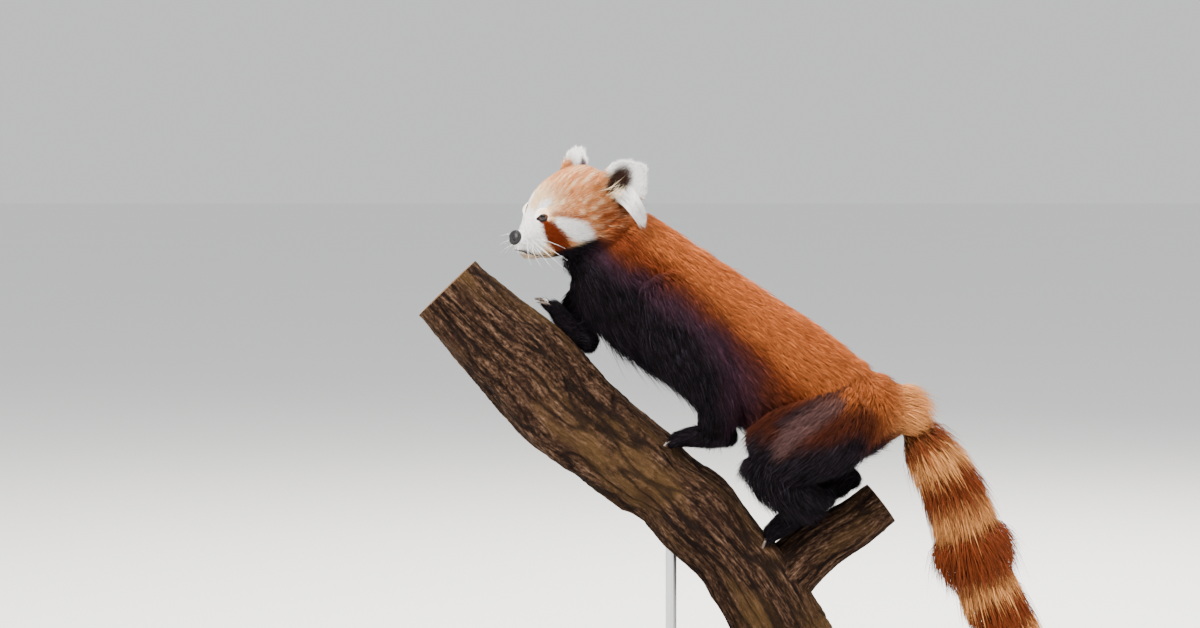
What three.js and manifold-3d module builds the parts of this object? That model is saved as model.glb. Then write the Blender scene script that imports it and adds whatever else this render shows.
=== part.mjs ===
// A still, life-size red panda walking up a sloping branch, on a plain display stand.
// Millimetres, +Z up. The animal faces -X, its left side towards -Y, and the origin is
// the centre of the underside of the stand's base.
import * as THREE from 'three';
import { LoftGeometry } from 'three/addons/geometries/LoftGeometry.js';
import { RoundedBoxGeometry } from 'three/addons/geometries/RoundedBoxGeometry.js';
import { mergeVertices } from 'three/addons/utils/BufferGeometryUtils.js';
import Module from 'manifold-3d';

const wasm = await Module();
wasm.setup();

// Driving dimensions.
const GAP = 0.35; // between neighbouring pieces
const SIDEWAYS = new THREE.Vector3(0, 1, 0);

const BASE_LENGTH = 500;
const BASE_WIDTH = 300;
const BASE_THICKNESS = 15;
const ROD_RADIUS = 7;
const FRONT_ROD = [-92, 0, 280]; // x, y and the height where it meets the trunk's heart
const REAR_ROD = [26, 0, 140];

const HEAD_CENTRE = [-233, -26, 632];
const HEAD_YAW = 28;
const HEAD_PITCH = 8;
const HEAD_ROLL = 9;
const EYE_PLACE = [-30.5, 20.5, 11];
const EYE_RADIUS = 7.5;
const NOSE_PLACE = [-61.5, 0, -14];
const NOSE_RADIUS = 9.5;
const EYE_FACING = [-0.66, 0.74, 0.12]; // x, outward, z
const EYE_OPENING = [6.4, 4.6, 7]; // half length, half height and depth of the gap between the lids
const LID_THICKNESS = 1.7;
const EAR_PLACE = { left: [54, 48, 34], right: [40, 45, 36] };

const EAR_FRINGE = [[0.42, -5, 7], [0.34, 186, 8], [0.56, 187, 6]]; // t, angle, rise

const CHEEK_LOCKS = [ // t, angle, run and rise of the ruff on one side
  [0.74, 6, 0.34, 15], [0.72, -18, 0.38, 17], [0.73, -42, 0.38, 16], [0.84, -6, 0.3, 15], [0.83, -31, 0.32, 17],
];
const EAR_TUFTS = [ // root and tip, in the head's frame
  [50, 46, 30, 76, 76, 4], [56, 44, 32, 86, 70, 14],
];

const CLAW_LENGTH = 13;
const CLAW_RADIUS = 2.2;
const TOE_RADIUS = 6.5;

const SIMPLE = 0.2; // how far merged faces may move

const TAIL_CORE = 0.5; // the core's share of the tail's full radius
const TAIL_ROWS = 10;
const TAIL_LOCKS_A_ROW = 7;
const TAIL_START = 0.05;
const TAIL_LAST = 0.93;
const TAIL_RUN = 0.21; // a lock's length, as a share of the tail's
const BELLY_ROWS = [[0.07, 0.1, 14], [0.15, 0.1, 22], [0.3, 0.12, 24], [0.4, 0.12, 24], [0.5, 0.09, 20]]; // t, run, sag
const BELLY_ANGLES = [-38, 0, 38];
const RUMP_ANGLES = [-40, -8, 28, 62, 90, 122, 156, 196];
const RUMP_START = 0.9;
const BODY_PARTS = [[0], [0.27, 'neck'], [0.6, 'torso_front'], [1, 'torso_rear']];
const LOCK_ROOT = 7; // how deep a lock's root sits
const LOCK_TAPER = [0.75, 1, 0.75, 0.1]; // width from root to tip, as a share of the widest

const RIDGES = 6; // plates of bark round the trunk
const RIDGE_HEIGHT = 2.6;
const RIDGE_SWAY = 2.2;
const RIDGE_BENDS = 8;

// A numbers-only random draw that gives the same row of values each time.
let seed = 7;
function draw() {
  seed = (seed * 16807) % 2147483647;
  return seed / 2147483647;
}

// Turns a closed three.js geometry into a solid that can be joined and cut.
function solidOf(geometry) {
  const bare = new THREE.BufferGeometry();
  bare.setAttribute('position', geometry.getAttribute('position'));
  if (geometry.index) bare.setIndex(geometry.index);
  const merged = mergeVertices(bare, 1e-3);
  const index = merged.index.array;
  const faces = [];
  for (let i = 0; i < index.length; i += 3) {
    const [a, b, c] = index.slice(i, i + 3);
    if (a !== b && b !== c && c !== a) faces.push(a, b, c);
  }
  const vertProperties = new Float32Array(merged.attributes.position.array);
  return new wasm.Manifold(new wasm.Mesh({ numProp: 3, vertProperties, triVerts: new Uint32Array(faces) }));
}

// A body form: sections carried along a smooth path. Each station is
// [x, y, z, across, up, down], the half sizes sideways, above and below the path.
// Sections stand square to the path, or to a facing where one is given, and a relief
// raises the surface by a height worked out from t and the angle.
function form(stations, { lateral = SIDEWAYS, facing, relief } = {}) {
  const path = new THREE.CatmullRomCurve3(stations.map(([x, y, z]) => new THREE.Vector3(x, y, z)));
  const sizes = new THREE.CatmullRomCurve3(
    stations.map(([, , , across, up, down = up]) => new THREE.Vector3(across, up, down)));

  function frame(t) {
    const along = facing ? facing.clone() : path.getTangent(t).normalize();
    const side = lateral.clone().addScaledVector(along, -lateral.dot(along)).normalize();
    const rise = along.clone().cross(side);
    return { centre: path.getPoint(t), along, side, rise, size: sizes.getPoint(t) };
  }

  // The point at t along the form, at an angle round it, from the side towards the top.
  function at(t, angle, height = 0, scale = 1, ahead = 0) {
    const { centre, along, side, rise, size } = frame(t);
    const sine = Math.sin(angle);
    const reach = sine > 0 ? size.y : size.z;
    const out = height + (relief ? relief(t, angle) : 0);
    return centre
      .addScaledVector(side, Math.cos(angle) * (size.x * scale + out))
      .addScaledVector(rise, sine * (reach * scale + out))
      .addScaledVector(along, ahead);
  }

  // As at, but t may run on past the far end of the path, in its last direction.
  function beyond(t, angle, height, scale) {
    return at(Math.min(t, 1), angle, height, scale, Math.max(t - 1, 0) * path.getLength());
  }

  // The closed solid, with rounded ends of the lengths given, grown by a margin all round.
  function solid({ steps = 12, sides = 16, start = 0, end = 0, grow = 0, rings = 3, shrink = 1 } = {}) {
    const sections = [];
    const ring = (t, scale, ahead) => {
      const points = [];
      for (let j = 0; j < sides; j++) {
        points.push(at(t, (2 * Math.PI * j) / sides, grow, scale * shrink, ahead));
      }
      sections.push(points);
    };
    for (let k = rings; k > 0 && start; k--) {
      const turn = (k / (rings + 0.35)) * (Math.PI / 2);
      ring(0, Math.cos(turn), -(start + grow) * Math.sin(turn));
    }
    for (let i = 0; i <= steps; i++) ring(i / steps, 1, i === 0 && !start ? -grow : i === steps && !end ? grow : 0);
    for (let k = 1; k <= rings && end; k++) {
      const turn = (k / (rings + 0.35)) * (Math.PI / 2);
      ring(1, Math.cos(turn), (end + grow) * Math.sin(turn));
    }
    return solidOf(new LoftGeometry(sections, { capStart: true, capEnd: true }));
  }

  return { at, beyond, frame, solid };
}

// A body piece holds its solid, and a halo that stands a gap off it for cutting neighbours.
function piece(shape, options) {
  return { core: shape.solid(options), halo: shape.solid({ ...options, grow: GAP }) };
}

function join(...parts) {
  return {
    core: wasm.Manifold.union(parts.map((p) => p.core)),
    halo: wasm.Manifold.union(parts.map((p) => p.halo)),
  };
}

// A flat tapered lock of coat through four points, root to tip, its width across the coat.
function lock(points, lateral, width, thickness) {
  return piece(form(points.map((p, k) => [
    ...p.toArray(), width * LOCK_TAPER[k], thickness * Math.sqrt(LOCK_TAPER[k])]), { lateral }), { steps: 3, sides: 4 });
}

// A lock that grows out of a form's surface and bends along it. It rises to a height at
// its tip, runs on by a share of the path, and swings round by an angle.
function lyingLock(shape, { t, angle, run, swing = 0, rise, width, thickness, scale = 1, sag = 0, depth = LOCK_ROOT }) {
  const shares = [0, 0.35, 0.7, 1];
  const heights = [-depth, rise * 0.4, rise * 0.8, rise];
  const points = shares.map((share, k) => {
    const p = shape.beyond(t + run * share, angle + swing * share, heights[k], scale);
    return p.setZ(p.z - sag * share * share);
  });
  const { along } = shape.frame(Math.min(t, 1));
  const out = shape.at(t, angle, 1).sub(shape.at(t, angle));
  return lock(points, out.cross(along), width, thickness);
}

// A lock from a root on a surface towards a tip, bowed outwards on its way.
function freeLock(root, tip, bow, lateral, width, thickness) {
  const from = new THREE.Vector3(...root);
  const to = new THREE.Vector3(...tip);
  const points = [0, 0.35, 0.7, 1].map((share) => from.clone().lerp(to, share)
    .addScaledVector(new THREE.Vector3(...bow), 4 * share * (1 - share)));
  return lock(points, new THREE.Vector3(...lateral), width, thickness);
}

function cut(part, ...others) {
  const halos = wasm.Manifold.union(others.map((p) => p.halo));
  return { core: part.core.subtract(halos), halo: part.halo };
}

// Keeps what lies ahead of a plane through a place, square to a direction.
function ahead(part, place, direction) {
  const normal = direction.clone().normalize();
  const offset = normal.dot(place);
  return {
    core: part.core.trimByPlane(normal.toArray(), offset + GAP / 2),
    halo: part.halo.trimByPlane(normal.toArray(), offset - GAP / 2),
  };
}

function between(part, shape, from, to) {
  let kept = part;
  if (from > 0) {
    const { centre, along } = shape.frame(from);
    kept = ahead(kept, centre, along);
  }
  if (to < 1) {
    const { centre, along } = shape.frame(to);
    kept = ahead(kept, centre, along.negate());
  }
  return kept;
}

function largest(manifold) {
  const bodies = manifold.decompose();
  bodies.sort((a, b) => b.volume() - a.volume());
  return bodies[0];
}

// The named meshes.
const redPanda = new THREE.Group();
const finishes = {
  rust: { color: 0xb5562a, roughness: 0.9 },
  dark: { color: 0x1b1416, roughness: 0.9 },
  pale: { color: 0xf0e4d8, roughness: 0.9 },
  buff: { color: 0xcf9a62, roughness: 0.9 },
  nose: { color: 0x241f22, roughness: 0.5 },
  eye: { color: 0x120c0a, roughness: 0.1 },
  bark: { color: 0x6e5346, roughness: 0.95 },
  steel: { color: 0x8c8f92, roughness: 0.35, metalness: 0.9 },
  base: { color: 0x2c2a28, roughness: 0.6 },
};
const materials = Object.fromEntries(
  Object.entries(finishes).map(([name, values]) => [name, new THREE.MeshStandardMaterial(values)]));

function add(name, manifold, finish) {
  const { vertProperties, triVerts, numProp } = largest(largest(manifold).simplify(SIMPLE)).getMesh();
  const positions = new Float32Array((vertProperties.length / numProp) * 3);
  for (let i = 0; i < positions.length / 3; i++) {
    positions.set(vertProperties.subarray(i * numProp, i * numProp + 3), i * 3);
  }
  const geometry = new THREE.BufferGeometry();
  geometry.setAttribute('position', new THREE.BufferAttribute(positions, 3));
  geometry.setIndex(new THREE.BufferAttribute(new Uint32Array(triVerts), 1));
  geometry.computeVertexNormals();
  const mesh = new THREE.Mesh(geometry, materials[finish]);
  mesh.name = name;
  redPanda.add(mesh);
}

// The perch: a length of a leaning trunk, and a side branch that forks from its lower end.
const plates = (t, angle) => RIDGE_HEIGHT * Math.cos(RIDGES * angle + RIDGE_SWAY * Math.sin(RIDGE_BENDS * t));
const trunkForm = form([
  [-372, 0, 545, 50, 50],
  [-320, 0, 491, 55, 55],
  [-275, 0, 449, 60, 61],
  [-229, 0, 399, 62, 64],
  [-172, 0, 352, 57, 57],
  [-119, 0, 311, 54, 54],
  [-62, 0, 262, 54, 54],
  [-1, 0, 191, 54, 54],
  [46, 0, 117, 56, 56],
  [60, 0, 88, 57, 57],
], { relief: plates });
const branchForm = form([
  [20, 0, 152, 42, 42],
  [48, 4, 180, 39, 39],
  [89, 8, 218, 35, 35],
  [139, 12, 249, 31, 31],
  [172, 14, 274, 29, 29],
]);
const trunk = piece(trunkForm, { steps: 16, sides: 20 });
const branch = cut(piece(branchForm, { steps: 5, sides: 14 }), trunk);

// The head, in its own frame: the muzzle towards -x, the left cheek towards -y.
const headTurn = new THREE.Matrix4()
  .makeTranslation(...HEAD_CENTRE)
  .multiply(new THREE.Matrix4().makeRotationZ(THREE.MathUtils.degToRad(HEAD_YAW)))
  .multiply(new THREE.Matrix4().makeRotationY(THREE.MathUtils.degToRad(-HEAD_PITCH)))
  .multiply(new THREE.Matrix4().makeRotationX(THREE.MathUtils.degToRad(HEAD_ROLL)));
const headForm = form([
  [-57, 0, -20, 12, 11, 14],
  [-51, 0, -21, 17, 17, 20],
  [-44, 0, -19, 22, 25, 25],
  [-36, 0, -13, 28, 34, 31],
  [-24, 0, -6, 40, 41, 39],
  [-8, 0, 0, 51, 47, 45],
  [16, 0, 3, 60, 55, 50],
  [40, 0, 3, 61, 58, 53],
  [66, 0, 0, 54, 49, 52],
], { facing: new THREE.Vector3(1, 0, 0) });

function turned(part, matrix) {
  return { core: part.core.transform(matrix.elements), halo: part.halo.transform(matrix.elements) };
}

function ball(radius, x, y, z, stretch = [1, 1, 1], detail = 12) {
  const make = (r) => {
    const geometry = new THREE.SphereGeometry(r, detail, detail / 2);
    geometry.scale(...stretch);
    geometry.translate(x, y, z);
    return solidOf(geometry);
  };
  return { core: make(radius), halo: make(radius + GAP) };
}

// An ear is a broad cup that leans back and out, its hollow towards the front and side,
// with long hair along its rim. Each level is [height, across, back, front], and a front
// below nothing curves inwards.
function makeEar(name, hand) {
  const [x, y, z] = EAR_PLACE[name];
  const root = new THREE.Vector3(x, hand * y, z);
  const axis = new THREE.Vector3(0.7, hand * 0.4, 0.66).normalize();
  const levels = [
    [-14, 24, 9, 4],
    [6, 30, 11, -3],
    [22, 30, 10, -4],
    [36, 20, 7, -2],
    [45, 9, 3, 1],
  ];
  const cup = form(levels.map(([height, across, back, front]) => [
    ...root.clone().addScaledVector(axis, height).toArray(),
    across, hand > 0 ? front : back, hand > 0 ? back : front,
  ]), { lateral: new THREE.Vector3(0.8, hand * 0.45, -0.3) });
  const fringe = EAR_FRINGE.map(([t, angle, rise]) => lyingLock(cup, {
    t, angle: hand * THREE.MathUtils.degToRad(angle), run: 0.34, rise, width: 4.5, thickness: 1.6, depth: 3 }));
  return join(piece(cup, { steps: 7, sides: 14, end: 2 }), ...fringe);
}

// The nose pad is a broad, slightly squared knob with a nostril sunk in each side.
function noseShape() {
  const pad = ball(NOSE_RADIUS, ...NOSE_PLACE, [0.8, 1.1, 0.85]);
  const nostrils = [-1, 1].map((hand) => ball(
    1, NOSE_PLACE[0] - 5.5, hand * 6, NOSE_PLACE[2] - 1, [3.2, 1.6, 2.2], 8).core);
  return { core: pad.core.subtract(wasm.Manifold.union(nostrils)), halo: pad.halo };
}

// Thin lids stand round each eye and leave a long gap between them.
function lidShapes(hand) {
  const [x, y, z] = EYE_PLACE;
  const lid = ball(EYE_RADIUS + LID_THICKNESS, x, hand * y, z);
  const facing = new THREE.Vector3(EYE_FACING[0], hand * EYE_FACING[1], EYE_FACING[2]).normalize();
  const slit = new THREE.Vector3(-0.74, -hand * 0.66, -0.28).normalize();
  const rise = facing.clone().cross(slit).normalize();
  slit.crossVectors(rise, facing);
  const turn = new THREE.Matrix4().makeBasis(slit, rise, facing);
  turn.setPosition(new THREE.Vector3(x, hand * y, z).addScaledVector(facing, EYE_RADIUS));
  const opening = solidOf(new THREE.SphereGeometry(1, 12, 7).scale(...EYE_OPENING)).transform(turn.elements);
  return { lid: lid.core, opening };
}

// The line of the mouth runs back along both sides of the muzzle, under the lip.
function mouthLine() {
  const line = (hand) => form([
    [-63, 0, -31, 1.2, 1.2],
    [-58, hand * 9, -31, 1.2, 1.2],
    [-49, hand * 18, -34, 1.2, 1.2],
    [-38, hand * 27, -37, 1.1, 1.1],
    [-28, hand * 34, -34, 0.8, 0.8],
  ], { lateral: new THREE.Vector3(0, 0, 1) }).solid({ steps: 5, sides: 4 });
  return line(-1).add(line(1));
}

// The torso, neck to rump, as one form that thin cuts part into lengths.
const bodyForm = form([
  [-196, -8, 622, 50, 50, 60],
  [-172, -4, 606, 54, 60, 72],
  [-140, 0, 572, 62, 71, 88],
  [-104, 0, 534, 70, 81, 84],
  [-32, 0, 481, 76, 84, 78],
  [24, 0, 445, 80, 84, 76],
  [84, 0, 408, 82, 80, 72],
  [132, 0, 393, 76, 67, 66],
  [166, 0, 392, 60, 50, 50],
  [186, 0, 392, 44, 38, 36],
]);
const bodyOptions = { steps: 14, sides: 16, end: 30 };

// The tail hangs behind the rump.
const tailForm = form([
  [182, 0, 390, 26, 26],
  [206, 3, 372, 30, 30],
  [232, 8, 340, 37, 37],
  [258, 16, 296, 42, 42],
  [278, 24, 246, 44, 44],
  [298, 30, 190, 44, 44],
  [322, 32, 138, 42, 42],
  [350, 30, 98, 34, 34],
  [368, 28, 80, 24, 24],
]);
const TAIL_PARTS = [0, 0.3, 0.52, 0.74, 1];

// The legs. The near ones are on the animal's left, towards -Y.
const limbs = {
  upper_arm_left: form([
    [-108, -40, 548, 40, 40],
    [-84, -50, 505, 38, 56],
    [-56, -56, 458, 34, 48],
    [-38, -50, 422, 30, 34],
  ]),
  forearm_left: form([
    [-40, -52, 432, 29, 31],
    [-35, -46, 404, 28, 30],
    [-36, -36, 384, 25, 27],
    [-40, -28, 370, 23, 24],
  ]),
  upper_arm_right: form([
    [-112, 42, 556, 40, 40],
    [-156, 46, 546, 40, 46],
    [-188, 42, 530, 36, 39],
  ]),
  forearm_right: form([
    [-186, 42, 530, 33, 36],
    [-200, 38, 515, 30, 33],
    [-210, 34, 502, 26, 28],
    [-216, 30, 493, 22, 23],
  ]),
  thigh_left: form([
    [130, -42, 400, 38, 52],
    [98, -58, 374, 46, 60],
    [58, -66, 356, 43, 55],
    [24, -64, 343, 34, 42],
  ]),
  shank_left: form([
    [26, -66, 336, 34, 38],
    [40, -62, 312, 31, 34],
    [62, -48, 292, 26, 28],
    [84, -36, 282, 21, 22],
  ]),
  thigh_right: form([
    [130, 42, 400, 38, 52],
    [110, 58, 374, 46, 58],
    [90, 66, 358, 42, 52],
    [74, 66, 348, 35, 42],
  ]),
  shank_right: form([
    [72, 66, 342, 34, 38],
    [80, 62, 324, 30, 33],
    [100, 50, 306, 25, 27],
    [120, 40, 297, 21, 22],
  ]),
};
const feet = {
  forefoot_left: form([
    [-84, -20, 357, 17, 11, 10],
    [-66, -22, 360, 20, 14, 13],
    [-40, -26, 361, 20, 17, 14],
    [-22, -30, 362, 17, 17, 14],
  ]),
  forefoot_right: form([
    [-238, 20, 518, 17, 11, 10],
    [-224, 22, 503, 20, 14, 13],
    [-208, 26, 486, 20, 16, 14],
    [-196, 29, 474, 17, 16, 13],
  ]),
  hindfoot_left: form([
    [34, -20, 240, 18, 13, 12],
    [50, -22, 252, 21, 16, 14],
    [74, -24, 268, 21, 18, 14],
    [100, -26, 284, 17, 17, 14],
  ]),
  hindfoot_right: form([
    [74, 30, 266, 18, 13, 12],
    [90, 32, 277, 21, 16, 14],
    [112, 34, 290, 21, 18, 14],
    [136, 34, 303, 17, 17, 14],
  ]),
};

// Five claws fan out of the toes at the front of a foot.
function makeFoot(shape, claws) {
  const pad = piece(shape, { steps: 4, sides: 10, start: 9, end: 13, rings: 2 });
  const { centre, along, side, rise, size } = shape.frame(0);
  const parts = [pad.core];
  for (let i = 0; i < claws; i++) {
    const spread = (i / (claws - 1)) * 2 - 1;
    const toe = form([-4, 5, 13].map((out, k) => [
      ...centre.clone()
        .addScaledVector(side, spread * size.x * (0.62 + 0.1 * k))
        .addScaledVector(along, -out * (1 - 0.25 * spread * spread))
        .addScaledVector(rise, -1 - k * 1.5).toArray(),
      TOE_RADIUS - k * 0.7, TOE_RADIUS - k * 0.7]));
    const tip = toe.frame(1);
    const claw = form([-5, 0.45 * CLAW_LENGTH, CLAW_LENGTH].map((out, k) => [
      ...tip.centre.clone()
        .addScaledVector(tip.along, out + 3)
        .addScaledVector(rise, 2 - [0, 0.5, 4][k]).toArray(),
      CLAW_RADIUS - k * 0.85, CLAW_RADIUS * 1.3 - k * 1.1]));
    parts.push(toe.solid({ steps: 2, sides: 5, end: 4, rings: 1 }));
    parts.push(claw.solid({ steps: 2, sides: 4 }));
  }
  return { core: wasm.Manifold.union(parts), halo: pad.halo };
}

const limbOptions = { steps: 5, sides: 12, start: 20, end: 18, rings: 2 };
const perch = { halo: trunk.halo.add(branchForm.solid({ steps: 5, sides: 14, grow: GAP })) };

const head = turned(piece(headForm, { steps: 13, sides: 20, start: 6, end: 16 }), headTurn);
const eyes = {};
const ears = {};
for (const [name, hand] of [['left', -1], ['right', 1]]) {
  const [ex, ey, ez] = EYE_PLACE;
  eyes[name] = turned(ball(EYE_RADIUS, ex, hand * ey, ez), headTurn);
  ears[name] = turned(makeEar(name, hand), headTurn);
}
const nose = turned(noseShape(), headTurn);

// The ruff stands out behind the cheeks, and a long pale tuft hangs below each ear.
const ruff = [];
for (const hand of [-1, 1]) {
  const round = (angle) => (hand > 0 ? THREE.MathUtils.degToRad(angle) : Math.PI - THREE.MathUtils.degToRad(angle));
  CHEEK_LOCKS.forEach(([t, angle, run, rise]) => ruff.push(lyingLock(headForm, {
    t, angle: round(angle), run, rise, width: 9, thickness: 3, sag: 4 + 4 * draw() })));
  EAR_TUFTS.forEach(([x, y, z, tipX, tipY, tipZ]) => ruff.push(freeLock(
    [x, hand * y, z], [tipX, hand * tipY, tipZ], [0, hand * 5, 3], [1, 0, -0.6], 8, 2.6)));
}
const headCoat = join(head, ...ruff.map((part) => turned(part, headTurn)));

add('perch_trunk', trunk.core, 'bark');
add('perch_branch', branch.core, 'bark');
const lids = [-1, 1].map((hand) => lidShapes(hand));
const face = headCoat.core
  .add(wasm.Manifold.union(lids.map(({ lid }) => lid)).transform(headTurn.elements))
  .subtract(wasm.Manifold.union(lids.map(({ opening }) => opening)).transform(headTurn.elements))
  .subtract(mouthLine().transform(headTurn.elements));
add('head', cut({ core: face }, eyes.left, eyes.right, nose).core, 'rust');
add('nose', nose.core, 'nose');
for (const side of ['left', 'right']) {
  add('eye_' + side, eyes[side].core, 'eye');
  add('ear_' + side, cut(ears[side], headCoat).core, 'pale');
}

const blocks = [headCoat, ears.left, ears.right];
for (const side of ['left', 'right']) {
  for (const [foot, lower, upper] of [['forefoot_', 'forearm_', 'upper_arm_'], ['hindfoot_', 'shank_', 'thigh_']]) {
    const paw = cut(makeFoot(feet[foot + side], 5), perch);
    const top = piece(limbs[upper + side], limbOptions);
    const bottom = piece(limbs[lower + side], limbOptions);
    add(foot + side, paw.core, 'dark');
    add(upper + side, cut(top, perch, paw).core, 'dark');
    add(lower + side, cut(bottom, perch, paw, top).core, 'dark');
    blocks.push(paw, top, bottom);
  }
}
// The fringe under the chest and belly, and the tufts on the rump.
const fringe = [];
const degrees = THREE.MathUtils.degToRad;
for (const [t, run, sag] of BELLY_ROWS) {
  for (const angle of BELLY_ANGLES) {
    fringe.push(lyingLock(bodyForm, {
      t: t + 0.015 * draw(), angle: degrees(-90 + angle), run, swing: degrees(8 * (draw() - 0.5)),
      rise: 4, width: 10, thickness: 3.2, sag: sag * (0.85 + 0.3 * draw()) }));
  }
}
for (const angle of RUMP_ANGLES) {
  fringe.push(lyingLock(bodyForm, {
    t: RUMP_START + 0.03 * draw(), angle: degrees(angle), run: 0.17, rise: 5, width: 11, thickness: 3.4, sag: 14 }));
}
const body = join(piece(bodyForm, bodyOptions), ...fringe);
const bodyClear = cut(body, ...blocks, perch);
BODY_PARTS.slice(1).forEach(([end, name], i) => {
  add(name, between(bodyClear, bodyForm, BODY_PARTS[i][0], end).core, 'rust');
});

// The tail: a slim core under rows of long locks that lie back towards its tip.
const rows = [];
for (let row = 0; row < TAIL_ROWS; row++) {
  const t = TAIL_START + (row / (TAIL_ROWS - 1)) * (TAIL_LAST - TAIL_START);
  for (let i = 0; i < TAIL_LOCKS_A_ROW; i++) {
    const full = tailForm.frame(Math.min(t + TAIL_RUN, 1)).size.x;
    const past = Math.max(t + TAIL_RUN - 1, 0) / TAIL_RUN;
    rows.push({ t, part: lyingLock(tailForm, {
      t: t + 0.012 * draw(), angle: (2 * Math.PI * (i + (row % 2) / 2 + 0.2 * draw())) / TAIL_LOCKS_A_ROW,
      run: TAIL_RUN * (0.92 + 0.16 * draw()), swing: 0.12, rise: full * (1 - TAIL_CORE) * (1 - 0.8 * past),
      width: full * 0.26, thickness: full * 0.075, scale: TAIL_CORE }) });
  }
}
const tailCore = piece(tailForm, { steps: 11, sides: 9, end: 22, rings: 2, shrink: TAIL_CORE });
let behind = [body];
for (let i = TAIL_PARTS.length - 2; i >= 0; i--) {
  const [from, to] = [TAIL_PARTS[i], TAIL_PARTS[i + 1]];
  const own = rows.filter(({ t }) => t >= from && t < to).map(({ part }) => part);
  const part = join(between(tailCore, tailForm, from, to), ...own);
  add('tail_' + (i + 1), cut(part, ...behind).core, i % 2 ? 'buff' : 'rust');
  behind = [body, part];
}

// The stand: a flat base with rounded corners, and two rods up to the trunk.
const base = solidOf(new RoundedBoxGeometry(BASE_LENGTH, BASE_WIDTH, BASE_THICKNESS, 1, 3)
  .translate(0, 0, BASE_THICKNESS / 2));
add('stand_base', base, 'base');
for (const [name, [x, y, top]] of [['stand_rod_front', FRONT_ROD], ['stand_rod_rear', REAR_ROD]]) {
  const length = top - BASE_THICKNESS - GAP;
  const rod = new THREE.CylinderGeometry(ROD_RADIUS, ROD_RADIUS, length, 16)
    .rotateX(Math.PI / 2)
    .translate(x, y, BASE_THICKNESS + GAP + length / 2);
  add(name, solidOf(rod).subtract(trunk.halo), 'steel');
}

export default redPanda;
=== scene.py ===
import bpy
import numpy as np
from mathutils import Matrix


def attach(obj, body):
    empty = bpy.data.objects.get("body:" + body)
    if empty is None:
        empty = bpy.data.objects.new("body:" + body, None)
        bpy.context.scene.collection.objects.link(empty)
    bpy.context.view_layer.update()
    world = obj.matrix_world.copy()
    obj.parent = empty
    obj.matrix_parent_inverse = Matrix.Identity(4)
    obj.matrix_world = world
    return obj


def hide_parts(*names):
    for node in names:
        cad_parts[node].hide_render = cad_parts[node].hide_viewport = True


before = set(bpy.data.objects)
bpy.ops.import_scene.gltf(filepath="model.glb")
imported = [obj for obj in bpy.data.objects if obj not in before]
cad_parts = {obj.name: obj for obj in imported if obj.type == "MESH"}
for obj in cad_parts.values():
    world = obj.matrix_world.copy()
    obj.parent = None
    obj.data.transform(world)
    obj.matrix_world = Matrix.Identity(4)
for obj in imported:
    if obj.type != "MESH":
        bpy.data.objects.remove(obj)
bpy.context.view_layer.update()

# The view: a pale studio floor under soft light, and a camera a little above the
# animal's middle that looks level at its left side from four and a half metres.
camera_data = bpy.data.cameras.new("camera")
camera_data.sensor_width = 36.0
camera_data.lens = 108.0
camera = bpy.data.objects.new("camera", camera_data)
camera.location = (-0.18125, -4.49383, 0.74801)
camera.rotation_euler = (np.radians(87.0), 0.0, 0.0)
bpy.context.collection.objects.link(camera)
bpy.context.scene.camera = camera


def set_light(name, place, aim, size, power, tint):
    """A square area light at a place, its front turned towards an aim."""
    data = bpy.data.lights.new(name, "AREA")
    data.size = size
    data.energy = power
    data.color = tint
    lamp = bpy.data.objects.new(name, data)
    lamp.location = place
    away = np.subtract(place, aim)
    lamp.rotation_euler = (
        np.arctan2(np.hypot(away[0], away[1]), away[2]),
        0.0,
        np.arctan2(away[1], away[0]) + np.pi / 2,
    )
    bpy.context.collection.objects.link(lamp)


set_light("light_key", (-1.3, -1.8, 2.9), (-0.05, 0.0, 0.45), size=1.3, power=360.0, tint=(1.0, 0.97, 0.92))
set_light("light_fill", (2.4, -1.6, 1.4), (0.0, 0.0, 0.4), size=2.4, power=50.0, tint=(0.93, 0.96, 1.0))
set_light("light_back", (0.9, 1.6, 2.6), (0.0, 0.0, 0.5), size=1.2, power=200.0, tint=(1.0, 0.96, 0.89))

world = bpy.data.worlds.new("studio")
world.use_nodes = True
world.node_tree.nodes["Background"].inputs["Color"].default_value = (0.83, 0.84, 0.85, 1.0)
world.node_tree.nodes["Background"].inputs["Strength"].default_value = 0.95
bpy.context.scene.world = world


class Value:
    """A node socket that adds Math nodes when it stands in an expression."""

    def __init__(self, finish, socket):
        self.finish = finish
        self.socket = socket

    def math(self, operation, *values):
        return self.finish.node("ShaderNodeMath", {"operation": operation}, dict(enumerate(values)))

    def __add__(self, other):
        return self.math("ADD", self, other)

    def __sub__(self, other):
        return self.math("SUBTRACT", self, other)

    def __rsub__(self, other):
        return self.math("SUBTRACT", other, self)

    def __mul__(self, other):
        return self.math("MULTIPLY", self, other)

    def step(self, low, high):
        """0 below low, 1 above high, and smooth between them."""
        settings = {"interpolation_type": "SMOOTHSTEP"}
        return self.finish.node("ShaderNodeMapRange", settings, {0: self, 1: low, 2: high})

    __radd__ = __add__
    __rmul__ = __mul__


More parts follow.
